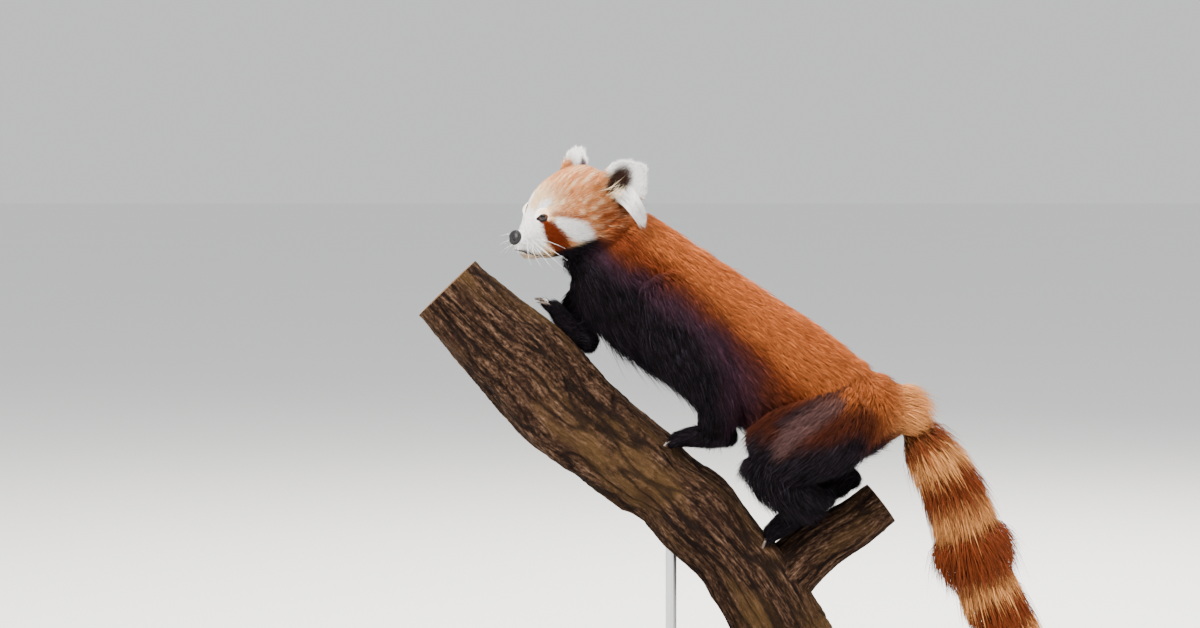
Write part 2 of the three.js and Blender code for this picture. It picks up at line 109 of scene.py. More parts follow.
class Finish:
    """A surface finish: one Principled shader and the nodes that feed it."""

    def __init__(self, name, **settings):
        self.material = bpy.data.materials.new(name)
        self.material.use_nodes = True
        self.tree = self.material.node_tree
        self.shader = self.tree.nodes["Principled BSDF"]
        for socket, value in settings.items():
            self.shader.inputs[socket.replace("_", " ")].default_value = value

    def node(self, kind, settings=None, inputs=None, output=0):
        """Adds a node, makes its settings, then fills its sockets with values or links."""
        made = self.tree.nodes.new(kind)
        for key, value in (settings or {}).items():
            if key == "stops":
                ramp = made.color_ramp
                for at, colour in value[2:]:
                    ramp.elements.new(at)
                for element, (at, colour) in zip(ramp.elements, value):
                    element.position = at
                    element.color = (*colour, 1.0)
            else:
                setattr(made, key, value)
        for key, value in (inputs or {}).items():
            self.fill(made.inputs[key], value)
        return Value(self, made.outputs[output])

    def fill(self, socket, value):
        if isinstance(value, Value):
            self.tree.links.new(value.socket, socket)
        elif isinstance(value, tuple) and len(value) == 3 and socket.type == "RGBA":
            socket.default_value = (*value, 1.0)
        else:
            socket.default_value = value

    def feed(self, **links):
        for socket, value in links.items():
            self.fill(self.shader.inputs[socket.replace("_", " ")], value)

    def place(self):
        return self.node("ShaderNodeTexCoord", output="Object")

    def stretched(self, scale, place=None):
        """A place, the object's own unless another is given, stretched along each axis."""
        return self.node("ShaderNodeMapping", {}, {"Vector": place or self.place(), "Scale": scale})

    def attribute(self, name, output="Fac"):
        return self.node("ShaderNodeAttribute", {"attribute_name": name}, output=output)

    def noise(self, scale, detail=3.0, vector=None, roughness=0.5, distortion=0.0):
        inputs = {"Vector": vector or self.place(), "Scale": scale, "Detail": detail,
                  "Roughness": roughness, "Distortion": distortion}
        return self.node("ShaderNodeTexNoise", {}, inputs, output="Fac")

    def mix(self, factor, low, high, blend="MIX"):
        settings = {"data_type": "RGBA", "blend_type": blend}
        return self.node("ShaderNodeMix", settings, {0: factor, 6: low, 7: high}, output=2)

    def bump(self, height, distance, strength=1.0):
        inputs = {"Height": height, "Distance": distance, "Strength": strength}
        return self.node("ShaderNodeBump", {}, inputs, output="Normal")


def make_piece(name, points, faces, finish):
    """A mesh object from an array of points and arrays of triangles or quads."""
    groups = [np.asarray(group) for group in (faces if isinstance(faces, list) else [faces])]
    loops = np.concatenate([group.ravel() for group in groups]).astype(np.int32)
    counts = np.concatenate([np.full(len(group), group.shape[1]) for group in groups])
    mesh = bpy.data.meshes.new(name)
    mesh.vertices.add(len(points))
    mesh.vertices.foreach_set("co", np.asarray(points, np.float32).ravel())
    mesh.loops.add(len(loops))
    mesh.loops.foreach_set("vertex_index", loops)
    mesh.polygons.add(len(counts))
    mesh.polygons.foreach_set("loop_start", (np.cumsum(counts) - counts).astype(np.int32))
    mesh.polygons.foreach_set("use_smooth", np.ones(len(counts), bool))
    mesh.update(calc_edges=True)
    mesh.validate()
    if finish:
        mesh.materials.append(finish.material)
    thing = bpy.data.objects.new(name, mesh)
    bpy.context.collection.objects.link(thing)
    return thing


floor_finish = Finish("floor_paint", Roughness=0.85)
floor_tone = floor_finish.mix(floor_finish.noise(1.2), (0.89, 0.89, 0.88), (0.92, 0.92, 0.91))
floor_finish.feed(Base_Color=floor_tone)
floor_corners = 30.0 * np.array([[-1, -1, 0], [1, -1, 0], [1, 1, 0], [-1, 1, 0]])
floor = make_piece("studio_floor", floor_corners, np.array([[0, 1, 2, 3]]), floor_finish)


# The perch: a cut length of a leaning trunk and a side branch that forks from its lower
# end. Both are weathered wood under reddish brown bark, split by long cracks, and the
# stand's rods run up into the trunk.
def through(stations, t):
    """A smooth curve through rows of numbers, at t from 0 to 1 (centripetal Catmull-Rom)."""
    rows = np.asarray(stations, float)
    count = len(rows) - 1
    at = np.clip(np.asarray(t, float), 0.0, 1.0) * count
    index = np.minimum(at.astype(int), count - 1)
    share = (at - index)[:, None]
    padded = np.vstack([2 * rows[0] - rows[1], rows, 2 * rows[-1] - rows[-2]])
    x0, x1, x2, x3 = (padded[index + k] for k in range(4))
    d0, d1, d2 = (np.sqrt(np.linalg.norm(b - a, axis=1))[:, None] for a, b in ((x0, x1), (x1, x2), (x2, x3)))
    d1 = np.where(d1 < 1e-4, 1.0, d1)
    d0 = np.where(d0 < 1e-4, d1, d0)
    d2 = np.where(d2 < 1e-4, d1, d2)
    t1 = ((x1 - x0) / d0 - (x2 - x0) / (d0 + d1) + (x2 - x1) / d1) * d1
    t2 = ((x2 - x1) / d1 - (x3 - x1) / (d1 + d2) + (x3 - x2) / d2) * d1
    s2, s3 = share ** 2, share ** 3
    return x1 * (2 * s3 - 3 * s2 + 1) + t1 * (s3 - 2 * s2 + share) + x2 * (3 * s2 - 2 * s3) + t2 * (s3 - s2)


def unit(ways):
    """Each direction at length 1."""
    return ways / np.linalg.norm(ways, axis=-1, keepdims=True)


def squared(ways, normal):
    """Directions without their part along a unit normal: v - n (v . n)."""
    return ways - normal * (ways * normal).sum(axis=-1, keepdims=True)


class Form:
    """Sections carried along a smooth path: rows of x, y, z, across, up and down in mm.

    The point at t and an angle is the path's point, plus cos(angle) times the width along
    the side axis, plus sin(angle) times the height up or down along the rising axis.
    """

    def __init__(self, stations, lateral=(0.0, 1.0, 0.0), facing=None):
        rows = np.array([list(row) + [row[4]] * (6 - len(row)) for row in stations], float) / 1000
        self.path_rows = rows[:, :3]
        self.size_rows = rows[:, 3:]
        self.lateral = np.array(lateral, float)
        self.facing = facing

    def frame(self, t):
        t = np.atleast_1d(np.asarray(t, float))
        centre = through(self.path_rows, t)
        if self.facing is None:
            along = unit(through(self.path_rows, t + 1e-3) - through(self.path_rows, t - 1e-3))
        else:
            along = np.tile(np.array(self.facing, float), (len(t), 1))
        side = unit(squared(self.lateral, along))
        return centre, along, side, np.cross(along, side), through(self.size_rows, t)

    def surface(self, steps, sides, start=0.0, end=0.0, rings=4, sink=0.0):
        """A grid of points, its closed quads and fans, and the middles of its two ends.

        Rings of points round off the ends, on quarter ellipses of the start's and end's
        reach, and the whole surface lies inside the form by the sink.
        """
        turns = np.arange(rings, 0, -1) / (rings + 0.35) * np.pi / 2
        t = np.concatenate([np.zeros(rings), np.linspace(0, 1, steps + 1), np.ones(rings)])
        scale = np.concatenate([np.cos(turns), np.ones(steps + 1), np.cos(turns[::-1])])
        ahead = np.concatenate([-start * np.sin(turns), np.zeros(steps + 1), end * np.sin(turns[::-1])])
        centre, along, side, rise, size = self.frame(t)
        angle = np.linspace(0, 2 * np.pi, sides, endpoint=False)
        width = (size[:, :1] - sink) * scale[:, None] * np.cos(angle)
        reach = np.where(np.sin(angle) > 0, size[:, 1:2], size[:, 2:3]) - sink
        height = reach * scale[:, None] * np.sin(angle)
        points = (centre + along * ahead[:, None])[:, None]
        points = points + side[:, None] * width[..., None] + rise[:, None] * height[..., None]
        tips = np.array([points[0].mean(axis=0), points[-1].mean(axis=0)])
        return points, close_tube(len(t), sides), tips

    def shell(self, steps, sides, **ends):
        """The same closed surface, with its points in one list."""
        points, faces, tips = self.surface(steps, sides, **ends)
        return np.concatenate([points.reshape(-1, 3), tips]), faces


def close_tube(rows, sides):
    """The faces of a tube of rows of points: quads along it and a fan on each end."""
    ring = np.arange(sides)
    after = (ring + 1) % sides
    row = np.arange(rows - 1)[:, None] * sides
    quads = np.stack([row + ring, row + after, row + sides + after, row + sides + ring], axis=-1)
    top = (rows - 1) * sides
    fans = np.concatenate([
        np.stack([after, ring, np.full(sides, rows * sides)], axis=-1),
        np.stack([top + ring, top + after, np.full(sides, rows * sides + 1)], axis=-1),
    ])
    return [quads.reshape(-1, 4), fans]


def ripple(points, size, seed, octaves=3):
    """Smooth noise from -1 to 1: sums of sines of turned and shifted coordinates."""
    chance = np.random.default_rng(seed)
    total = np.zeros(points.shape[:-1])
    for octave in range(octaves):
        for _ in range(5):
            direction = chance.normal(size=3)
            direction *= 2 ** octave * 2 * np.pi / size / np.linalg.norm(direction)
            total += np.sin(points @ direction + chance.uniform(0, 2 * np.pi)) / 2 ** octave
    return total / (3.2 * (2 - 2.0 ** (1 - octaves)))


def write_values(thing, name, kind, values):
    """Writes a value or a place at each point of a piece, for its finish to read."""
    layer = thing.data.attributes.new(name, kind, "POINT")
    key = "vector" if kind == "FLOAT_VECTOR" else "value"
    layer.data.foreach_set(key, values.astype(np.float32).ravel())


def grooves(chart, stretch, size, width, seed):
    """Long cracks: exp(-(n / width)^2), where n is a sum of sines on a stretched chart."""
    return np.exp(-(np.abs(ripple(chart * np.array([1, 1, stretch]), size, seed, 2)) / width) ** 2)


def make_bark(name, shape, steps, sides, plates, relief, seed, finish):
    """A tube whose surface moves out along its radius, by plates, knots and cracks.

    The plates are the cosine of six times an angle that sways along the tube. The rest
    is drawn on a chart of the places round the tube and along it, which wanders a little.
    """
    cap = 8
    points, faces, tips = shape.surface(steps, sides, start=0.0015, end=0.0015, rings=cap)
    rows = len(points)
    t = np.clip((np.arange(rows) - cap) / steps, 0, 1)[:, None] * np.ones(sides)
    angle = np.linspace(0, 2 * np.pi, sides, endpoint=False)[None, :] * np.ones((rows, 1))
    cut = np.ones(rows)
    cut[cap:-cap] = 0.0
    out = points - points.mean(axis=1, keepdims=True)
    span = np.linalg.norm(out, axis=-1).mean(axis=1)
    rim = np.where(np.arange(rows) < rows // 2, span[cap], span[-cap - 1])
    inward = np.where(cut > 0, span / rim, 1.0)[:, None]
    length = np.linalg.norm(np.diff(shape.path_rows, axis=0), axis=1).sum()
    across = shape.size_rows[:, 0].mean() * inward
    chart = np.stack([np.cos(angle) * across, np.sin(angle) * across, t * length], axis=-1)
    wander = chart + 0.004 * np.stack([ripple(chart, 0.10, seed + k) for k in range(3)], axis=-1)
    deep = grooves(wander, 0.12, 0.030, 0.11, seed + 4)
    small = grooves(wander, 0.16, 0.0075, 0.12, seed + 5)
    rough = ripple(wander * np.array([1, 1, 0.45]), 0.0065, seed + 7)
    knots = ripple(chart * np.array([1, 1, 0.6]), 0.06, seed + 6)
    lift = plates * np.cos(6 * angle + 2.2 * np.sin(8 * t))
    lift = lift + relief * (0.45 * knots + 0.28 * rough - 0.8 * deep - 0.3 * small)
    out /= np.linalg.norm(out, axis=-1, keepdims=True) + 1e-9
    points = points + out * (lift * inward ** 6)[..., None]
    bark = make_piece(name, np.concatenate([points.reshape(-1, 3), tips]), faces, finish)
    end_places = np.array([[0.0, 0.0, 0.0], [0.0, 0.0, length]])
    write_values(bark, "bark_place", "FLOAT_VECTOR", np.concatenate([chart.reshape(-1, 3), end_places]))
    # the cracks' depth, which the finish darkens as painted shade
    write_values(bark, "bark_depth", "FLOAT", np.append(np.clip(deep + 0.5 * small, 0, 1), [0.0, 0.0]))
    write_values(bark, "cut_end", "FLOAT", np.append(np.repeat(cut, sides), [1.0, 1.0]))
    return bark


trunk_form = Form([
    (-372, 0, 545, 50, 50), (-320, 0, 491, 55, 55), (-275, 0, 449, 60, 61), (-229, 0, 399, 62, 64),
    (-172, 0, 352, 57, 57), (-119, 0, 311, 54, 54), (-62, 0, 262, 54, 54), (-1, 0, 191, 54, 54),
    (46, 0, 117, 56, 56), (60, 0, 88, 57, 57),
])
branch_form = Form([
    (20, 0, 152, 42, 42), (48, 4, 180, 39, 39), (89, 8, 218, 35, 35), (139, 12, 249, 31, 31),
    (172, 14, 274, 29, 29),
])

bark_finish = Finish("bark", Roughness=0.95, Specular_IOR_Level=0.04)
bark_place = bark_finish.attribute("bark_place", "Vector")
bark_depth = bark_finish.attribute("bark_depth")
cut_end = bark_finish.attribute("cut_end")
grain_way = bark_finish.stretched((1.0, 1.0, 0.16), bark_place)
flake_way = bark_finish.stretched((1.0, 1.0, 0.45), bark_place)
grain = bark_finish.noise(170.0, 6.0, grain_way, 0.7, 0.4)
flake = bark_finish.noise(330.0, 4.0, flake_way, 0.65)
patch = bark_finish.noise(13.0, 4.0, flake_way, 0.6)
blotch = bark_finish.noise(34.0, 4.0, flake_way, 0.6)
bark_colour = bark_finish.node(
    "ShaderNodeValToRGB",
    {"stops": [(0.38, (0.005, 0.003, 0.002)), (0.47, (0.020, 0.010, 0.006)), (0.55, (0.060, 0.032, 0.019)),
               (0.68, (0.170, 0.105, 0.068))]},
    {"Fac": grain * 0.55 + flake * 0.45 - bark_depth * 0.10},
)
bark_colour = bark_finish.mix(patch.step(0.46, 0.66) * 0.6, bark_colour, (0.085, 0.046, 0.017))
bark_colour = bark_finish.mix(blotch.step(0.52, 0.72) * 0.5, bark_colour, (0.020, 0.009, 0.007))
# the cracks darkened nearly to black with painted shade
bark_colour = bark_finish.mix((bark_depth - 0.3) * 0.95, bark_colour, (0.010, 0.006, 0.005))
rings = bark_finish.node(
    "ShaderNodeTexWave",
    {"wave_type": "RINGS", "rings_direction": "Z"},
    {"Vector": bark_place, "Scale": 34.0, "Distortion": 2.5, "Detail": 3.0},
    "Fac",
)
cut_colour = bark_finish.mix(rings, (0.14, 0.075, 0.036), (0.30, 0.185, 0.105))
bark_finish.feed(
    Base_Color=bark_finish.mix(cut_end.step(0.50, 0.90), bark_colour, cut_colour),
    Normal=bark_finish.bump(grain * 0.8 + flake * 0.6 + blotch * 0.8, 0.0060),
)
trunk_piece = make_bark("perch_trunk_bark", trunk_form, steps=330, sides=230, plates=0.0026, relief=0.0024,
                        seed=3, finish=bark_finish)
branch_piece = make_bark("perch_branch_bark", branch_form, steps=120, sides=140, plates=0.0, relief=0.0018,
                         seed=18, finish=bark_finish)
for bark_piece, node in ((trunk_piece, "perch_trunk"), (branch_piece, "perch_branch")):
    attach(bark_piece, "root")
    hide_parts(node)

# The skin: the whole animal as one closed surface just under its coat. The same named
# forms as the solids, drawn in by the coat's depth, are joined and smoothed together.
head_turns = np.radians([28, -8, 9])  # about z, y and x
(cos_z, cos_y, cos_x), (sin_z, sin_y, sin_x) = np.cos(head_turns), np.sin(head_turns)
head_axes = (
    np.array([[cos_z, -sin_z, 0], [sin_z, cos_z, 0], [0, 0, 1]])
    @ np.array([[cos_y, 0, sin_y], [0, 1, 0], [-sin_y, 0, cos_y]])
    @ np.array([[1, 0, 0], [0, cos_x, -sin_x], [0, sin_x, cos_x]])
)
head_centre = np.array([-0.233, -0.026, 0.632])


def from_head(points):
    """Places points of the head's own frame, in metres, in the world."""
    return points @ head_axes.T + head_centre


def to_head(points):
    """World points as places in the head's own frame: muzzle towards -x, left cheek -y."""
    return (points - head_centre) @ head_axes


# Each form's stations, how far the skin lies inside it, and the reach of its two ends.
flesh_forms = {}
flesh_forms["body"] = (Form([
    (-196, -8, 622, 50, 50, 60), (-172, -4, 606, 54, 60, 72), (-140, 0, 572, 62, 71, 88),
    (-104, 0, 534, 70, 81, 84), (-32, 0, 481, 76, 84, 78), (24, 0, 445, 80, 84, 76),
    (84, 0, 408, 82, 80, 72), (132, 0, 393, 76, 67, 66), (166, 0, 392, 60, 50, 50), (186, 0, 392, 44, 38, 36),
]), 0.009, 0.0, 0.028)
flesh_forms["head"] = (Form([
    (-57, 0, -20, 12, 11, 14), (-51, 0, -21, 17, 17, 20), (-44, 0, -19, 22, 25, 25),
    (-36, 0, -13, 28, 34, 31), (-24, 0, -6, 40, 41, 39), (-8, 0, 0, 51, 47, 45), (16, 0, 3, 60, 55, 50),
    (40, 0, 3, 61, 58, 53), (66, 0, 0, 54, 49, 52),
], facing=(1.0, 0.0, 0.0)), 0.0012, 0.006, 0.016)
flesh_forms["tail"] = (Form([
    (182, 0, 390, 26, 26), (206, 3, 372, 30, 30), (232, 8, 340, 37, 37), (258, 16, 296, 42, 42),
    (278, 24, 246, 44, 44), (298, 30, 190, 44, 44), (322, 32, 138, 42, 42), (350, 30, 98, 34, 34),
    (368, 28, 80, 24, 24),
]), 0.017, 0.0, 0.008)
leg_rows = {
    "upper_arm_left": [(-108, -40, 548, 40, 40), (-84, -50, 505, 38, 56), (-56, -56, 458, 34, 48),
                       (-38, -50, 422, 30, 34)],
    "forearm_left": [(-40, -52, 432, 29, 31), (-35, -46, 404, 28, 30), (-36, -36, 384, 25, 27),
                     (-40, -28, 370, 23, 24)],
    "upper_arm_right": [(-112, 42, 556, 40, 40), (-156, 46, 546, 40, 46), (-188, 42, 530, 36, 39)],
    "forearm_right": [(-186, 42, 530, 33, 36), (-200, 38, 515, 30, 33), (-210, 34, 502, 26, 28),
                      (-216, 30, 493, 22, 23)],
    "thigh_left": [(130, -42, 400, 38, 52), (98, -58, 374, 46, 60), (58, -66, 356, 43, 55),
                   (24, -64, 343, 34, 42)],
    "shank_left": [(26, -66, 336, 34, 38), (40, -62, 312, 31, 34), (62, -48, 292, 26, 28),
                   (84, -36, 282, 21, 22)],
    "thigh_right": [(130, 42, 400, 38, 52), (110, 58, 374, 46, 58), (90, 66, 358, 42, 52),
                    (74, 66, 348, 35, 42)],
    "shank_right": [(72, 66, 342, 34, 38), (80, 62, 324, 30, 33), (100, 50, 306, 25, 27),
                    (120, 40, 297, 21, 22)],
}
for name, rows in leg_rows.items():
    flesh_forms[name] = (Form(rows), 0.008, 0.014, 0.012)
foot_rows = {
    "forefoot_left": [(-84, -20, 357, 17, 11, 10), (-66, -22, 360, 20, 14, 13), (-40, -26, 361, 20, 17, 14),
                      (-22, -30, 362, 17, 17, 14)],
    "forefoot_right": [(-238, 20, 518, 17, 11, 10), (-224, 22, 503, 20, 14, 13), (-208, 26, 486, 20, 16, 14),
                       (-196, 29, 474, 17, 16, 13)],
    "hindfoot_left": [(34, -20, 240, 18, 13, 12), (50, -22, 252, 21, 16, 14), (74, -24, 268, 21, 18, 14),
                      (100, -26, 284, 17, 17, 14)],
    "hindfoot_right": [(74, 30, 266, 18, 13, 12), (90, 32, 277, 21, 16, 14), (112, 34, 290, 21, 18, 14),
                       (136, 34, 303, 17, 17, 14)],
}
for name, rows in foot_rows.items():
    flesh_forms[name] = (Form(rows), 0.002, 0.008, 0.012)

ear_hands = {"ear_left": -1, "ear_right": 1}
ear_roots = {"ear_left": np.array([0.054, -0.048, 0.034]), "ear_right": np.array([0.040, 0.045, 0.036])}


def ear_axes(hand):
    """The ear's height, breadth and the way its hollow faces, as rows in the head's frame."""
    axis = unit(np.array([0.7, hand * 0.4, 0.66]))
    lateral = unit(squared(np.array([0.8, hand * 0.45, -0.3]), axis))
    return np.array([axis, lateral, np.cross(axis, lateral) * hand])


ear_levels = ((-14, 24, 9, 4), (6, 30, 11, -3), (22, 30, 10, -4), (36, 20, 7, -2), (45, 9, 3, 1))
for name, hand in ear_hands.items():
    axis, lateral, _ = ear_axes(hand)
    rows = []
    for height, across, back, front in ear_levels:
        place = ear_roots[name] * 1000 + axis * height
        sizes = (across - 1, front, back) if hand > 0 else (across - 1, back, front)
        rows.append((*place, *sizes))
    flesh_forms[name] = (Form(rows, lateral=lateral), 0.0, 0.0, 0.002)
in_head = ("head", *ear_hands)

# The toes: five short rounded fingers at the front of each foot, which join the skin.
# In the end of each sits a curved claw, which is made further down.
toe_forms = []
claw_forms = []
for rows in foot_rows.values():
    centre, along, side, rise, size = (value[0] for value in Form(rows).frame(0.0))
    for spread in np.linspace(-1, 1, 5):
        toe = [
            centre + side * spread * size[0] * (0.62 + 0.1 * k) - along * out * (1 - 0.25 * spread ** 2)
            - rise * (0.001 + k * 0.0015)
            for k, out in enumerate((-0.004, 0.005, 0.013))
        ]
        toe_forms.append(Form([(*point * 1000, 5.6 - k * 0.7, 5.6 - k * 0.7) for k, point in enumerate(toe)]))
        way = unit(toe[2] - toe[1])
        claw_forms.append(Form([
            (*(toe[2] + way * out + rise * drop) * 1000, wide, tall) for out, drop, wide, tall in (
                (-0.002, 0.002, 1.8, 2.6), (0.0045, 0.0022, 1.6, 2.2), (0.0100, 0.0005, 1.0, 1.3),
                (0.0150, -0.0030, 0.25, 0.3))
        ]))


def join(shells):
    """Many closed surfaces as one list of points, with their quads and their fans."""
    firsts = np.cumsum([0] + [len(points) for points, _ in shells])
    points = np.concatenate([points for points, _ in shells])
    return points, [
        np.concatenate([faces[kind] + first for (_, faces), first in zip(shells, firsts)]) for kind in (0, 1)
    ]


shells = []
for name, (shape, sink, start, end) in flesh_forms.items():
    points, faces = shape.shell(60, 60, start=start, end=end, rings=6, sink=sink)
    shells.append((from_head(points) if name in in_head else points, faces))
shells += [shape.shell(10, 16, end=0.004, rings=3) for shape in toe_forms]
draft = make_piece("skin_draft", *join(shells), None)
remesh = draft.modifiers.new("one_skin", "REMESH")
remesh.mode = "VOXEL"
remesh.voxel_size = 0.0029
soften = draft.modifiers.new("soften", "SMOOTH")
soften.factor = 0.5
soften.iterations = 4
skin_mesh = bpy.data.meshes.new_from_object(draft.evaluated_get(bpy.context.evaluated_depsgraph_get()))
bpy.data.objects.remove(draft)
skin_mesh.name = "skin"
skin = bpy.data.objects.new("skin", skin_mesh)
bpy.context.collection.objects.link(skin)
skin_mesh.polygons.foreach_set("use_smooth", np.ones(len(skin_mesh.polygons), bool))


def read_rows(items, key, width, kind=np.float32):
    """One property of a mesh's points, triangles or corners, as rows of numbers."""
    values = np.empty(len(items) * width, kind)
    items.foreach_get(key, values)
    return values.reshape(-1, width)


skin_places = read_rows(skin_mesh.vertices, "co", 3).astype(float)
skin_normals = read_rows(skin_mesh.vertices, "normal", 3).astype(float)

# The lie of the coat and each form's share at each point of the skin: a form weighs
# exp(-gap / 6 mm), where the gap is from its surface, and hair follows its path.
form_names = list(flesh_forms)
guide_at = np.linspace(0, 1, 24)
skin_share = np.zeros((len(skin_places), len(form_names)))
skin_along = np.zeros((len(skin_places), len(form_names)))
skin_lie = np.zeros((len(skin_places), 3))
falloff = 0.006
ear_half = 0.012
for index, (name, (shape, sink, start, end)) in enumerate(flesh_forms.items()):
    centre, along, _, _, size = shape.frame(guide_at)
    if name in in_head:
        centre, along = from_head(centre), along @ head_axes.T
    if name in foot_rows:
        along = -along
    radius = np.abs(size).mean(axis=1) - sink
    if name.startswith("ear"):
        radius = np.full(len(guide_at), ear_half)
    gap = np.linalg.norm(skin_places[:, None] - centre, axis=2) - radius
    weight = np.exp(-gap / falloff)
    share = np.exp(-np.clip(gap.min(axis=1), -0.02, 1) / falloff)
    skin_share[:, index] = share
    skin_along[:, index] = guide_at[gap.argmin(axis=1)]
    skin_lie += (weight @ along) / weight.sum(axis=1)[:, None] * share[:, None]
skin_share /= skin_share.sum(axis=1)[:, None]


def share_of(shares, *names):
    """How much of the named forms there is at each point, from 0 to 1."""
    return sum(shares[:, form_names.index(name)] for name in names)


def blend_of(value, low, high):
    """0 below low, 1 above high, smooth between them: 3x^2 - 2x^3 of the clipped share."""
    share = np.clip((value - low) / (high - low), 0.0, 1.0)
    return share * share * (3 - 2 * share)


def mix_of(under, over, share):
    """One colour under another, by the share of the upper one."""
    return under + (np.asarray(over) - under) * np.clip(share, 0, 1)[:, None]


def layered(colour, layers):
    """Colours laid one over another, each with its cover at every point."""
    for tone, cover in layers:
        colour = mix_of(colour, tone, cover)
    return colour


def near_line(points, line, width, soft=0.35):
    """1 within a width of a line of points, falling smoothly to 0 at its edge."""
    line = np.asarray(line, float)
    best = np.full(len(points), -1.0)
    for a, b, wa, wb in zip(line[:-1], line[1:], width[:-1], width[1:]):
        span = b - a
        share = np.clip((points - a) @ span / (span @ span), 0, 1)
        gap = np.linalg.norm(points - a - share[:, None] * span, axis=1)
        best = np.maximum(best, 1 - gap / (wa + (wb - wa) * share))
    return blend_of(best, 0.0, soft)


# The coat's colours, as linear red, green and blue.
RUST = np.array([0.145, 0.030, 0.009])
RUST_DEEP = np.array([0.062, 0.015, 0.007])
# the rust with painted light on it, for the top of the back
RUST_PAINTED_LIGHT = np.array([0.37, 0.098, 0.025])
DARK = np.array([0.0045, 0.0032, 0.0045])
PLUM = np.array([0.032, 0.013, 0.021])
BUFF = np.array([0.62, 0.265, 0.085])
CREAM = np.array([0.90, 0.67, 0.44])
WHITE = np.array([0.95, 0.92, 0.90])
TAN = np.array([0.58, 0.215, 0.068])
GREY_PLUM = np.array([0.080, 0.043, 0.041])
CHIN_BUFF = np.array([0.42, 0.28, 0.15])
# painted shade for the ear's hollow
EAR_HOLLOW_PAINTED_SHADE = np.array([0.028, 0.013, 0.008])
# a bluish painted sheen for black hair
BLACK_HAIR_PAINTED_SHEEN = np.array([0.026, 0.021, 0.030])

# The face's patches in the order they are painted: a colour, a line on one side in the
# head's frame, a width at each of its points, the edge's softness and the cover.
face_patches = [
    # the white under the eye, the white cheek, and the cream below it
    (WHITE, [(-0.044, 0.016, 0.004), (-0.046, 0.020, -0.012)], [0.009, 0.012], 0.35, 1.0),
    (WHITE, [(-0.022, 0.038, 0.005), (-0.013, 0.045, 0.001), (-0.003, 0.049, -0.006),
             (0.003, 0.051, -0.012)], [0.008, 0.013, 0.017, 0.013], 0.5, 1.0),
    (CREAM, [(0.000, 0.043, -0.024), (0.012, 0.048, -0.026)], [0.008, 0.007], 0.6, 1.0),
    # the rust stripe from the eye down to the throat, and the line behind the eye
    (RUST * np.array([0.85, 0.60, 0.40]),
     [(-0.035, 0.027, 0.005), (-0.032, 0.033, -0.004), (-0.0275, 0.036, -0.0130),
      (-0.0225, 0.037, -0.0205), (-0.0215, 0.035, -0.0280)],
     [0.0075, 0.0120, 0.0145, 0.0135, 0.0105], 0.3, 1.0),
    (RUST * 1.5, [(-0.026, 0.031, 0.014), (-0.012, 0.043, 0.013), (0.004, 0.052, 0.010)],
     [0.004, 0.006, 0.006], 0.7, 0.75),
    # the white brow
    (WHITE, [(-0.034, 0.014, 0.022), (-0.027, 0.019, 0.026)], [0.0075, 0.0070], 0.6, 1.0),
]


def on_one_side(places):
    """Places in the head's own frame, with the left side laid over on the right."""
    return np.stack([places[:, 0], np.abs(places[:, 1]), places[:, 2]], axis=1)


def face_markings(places):
    """The face's pattern in the head's own frame, the same on both sides."""
    p = on_one_side(places)
    x, _, z = p.T
    waver = ripple(places, 0.03, 31) * 0.0035
    streak = ripple(places * np.array([0.30, 1.6, 1.6]), 0.0085, 33, 3)
    back_low = blend_of(x + waver, -0.004, 0.034) * blend_of(0.036 - z + waver, 0.0, 0.026)
    back_tone = mix_of(RUST * 1.25, TAN, blend_of(streak, -0.2, 0.7) * 0.45)
    muzzle = blend_of(-0.034 - x + waver, -0.001, 0.005)
    throat = blend_of(-0.033 - z + waver + 0.35 * np.clip(x + 0.036, 0, 0.05), -0.003, 0.006)
    chin = blend_of(-0.0315 - z, -0.001, 0.002) * blend_of(-0.024 - x, 0, 0.006)
    lips = near_line(p, [(-0.063, 0.000, -0.030), (-0.058, 0.009, -0.030), (-0.049, 0.018, -0.033),
                         (-0.038, 0.027, -0.036), (-0.030, 0.033, -0.033)],
                     [0.0024, 0.0026, 0.0026, 0.0022, 0.0018], 0.7)
    return layered(TAN, [
        (CREAM, blend_of(streak, 0.1, 0.7) * 0.70),
        (RUST * 1.6, blend_of(-streak, 0.05, 0.7) * 0.62),
        (CREAM, blend_of(-0.006 - x + 0.25 * (z - 0.03) + waver, 0, 0.022) * 0.70),
        (back_tone, back_low * 0.9),
        (WHITE, muzzle * blend_of(0.020 - z, -0.004, 0.010)),
        *((tone, near_line(p, line, width, soft) * cover) for tone, line, width, soft, cover in face_patches),
        (DARK, throat * blend_of(x, -0.034, -0.024)),
        (CHIN_BUFF, chin * 0.9),
        (DARK * 8, lips * 0.75),
    ])


def ear_markings(places, name, hand):
    """White hair round a hollow darkened with painted shade: a place is inside where it lies before the
    middle.
    """
    height, across, out = ((places - ear_roots[name]) @ ear_axes(hand).T).T
    bend = np.sqrt(np.clip(1 - (across / 0.030) ** 2, 0, 1))
    inside = blend_of(out + 0.0075 * bend, -0.001, 0.001)
    waver = ripple(places, 0.012, 51) * 0.002
    slope = (height - 0.006) + (across + 0.005) * 0.35
    hollow = blend_of(1 - np.hypot(slope / 0.029, (across + 0.005) / 0.021) + waver * 40, -0.05, 0.45)
    behind = blend_of(across, -0.012, -0.002) * blend_of(0.034 - height, 0, 0.008)
    return layered(WHITE, [
        (CREAM, blend_of(0.016 - height, 0, 0.014) * 0.7),
        (PLUM * 1.6, (1 - inside) * behind),
        # the hollow darkened with painted shade
        (EAR_HOLLOW_PAINTED_SHADE, hollow * inside),
    ])


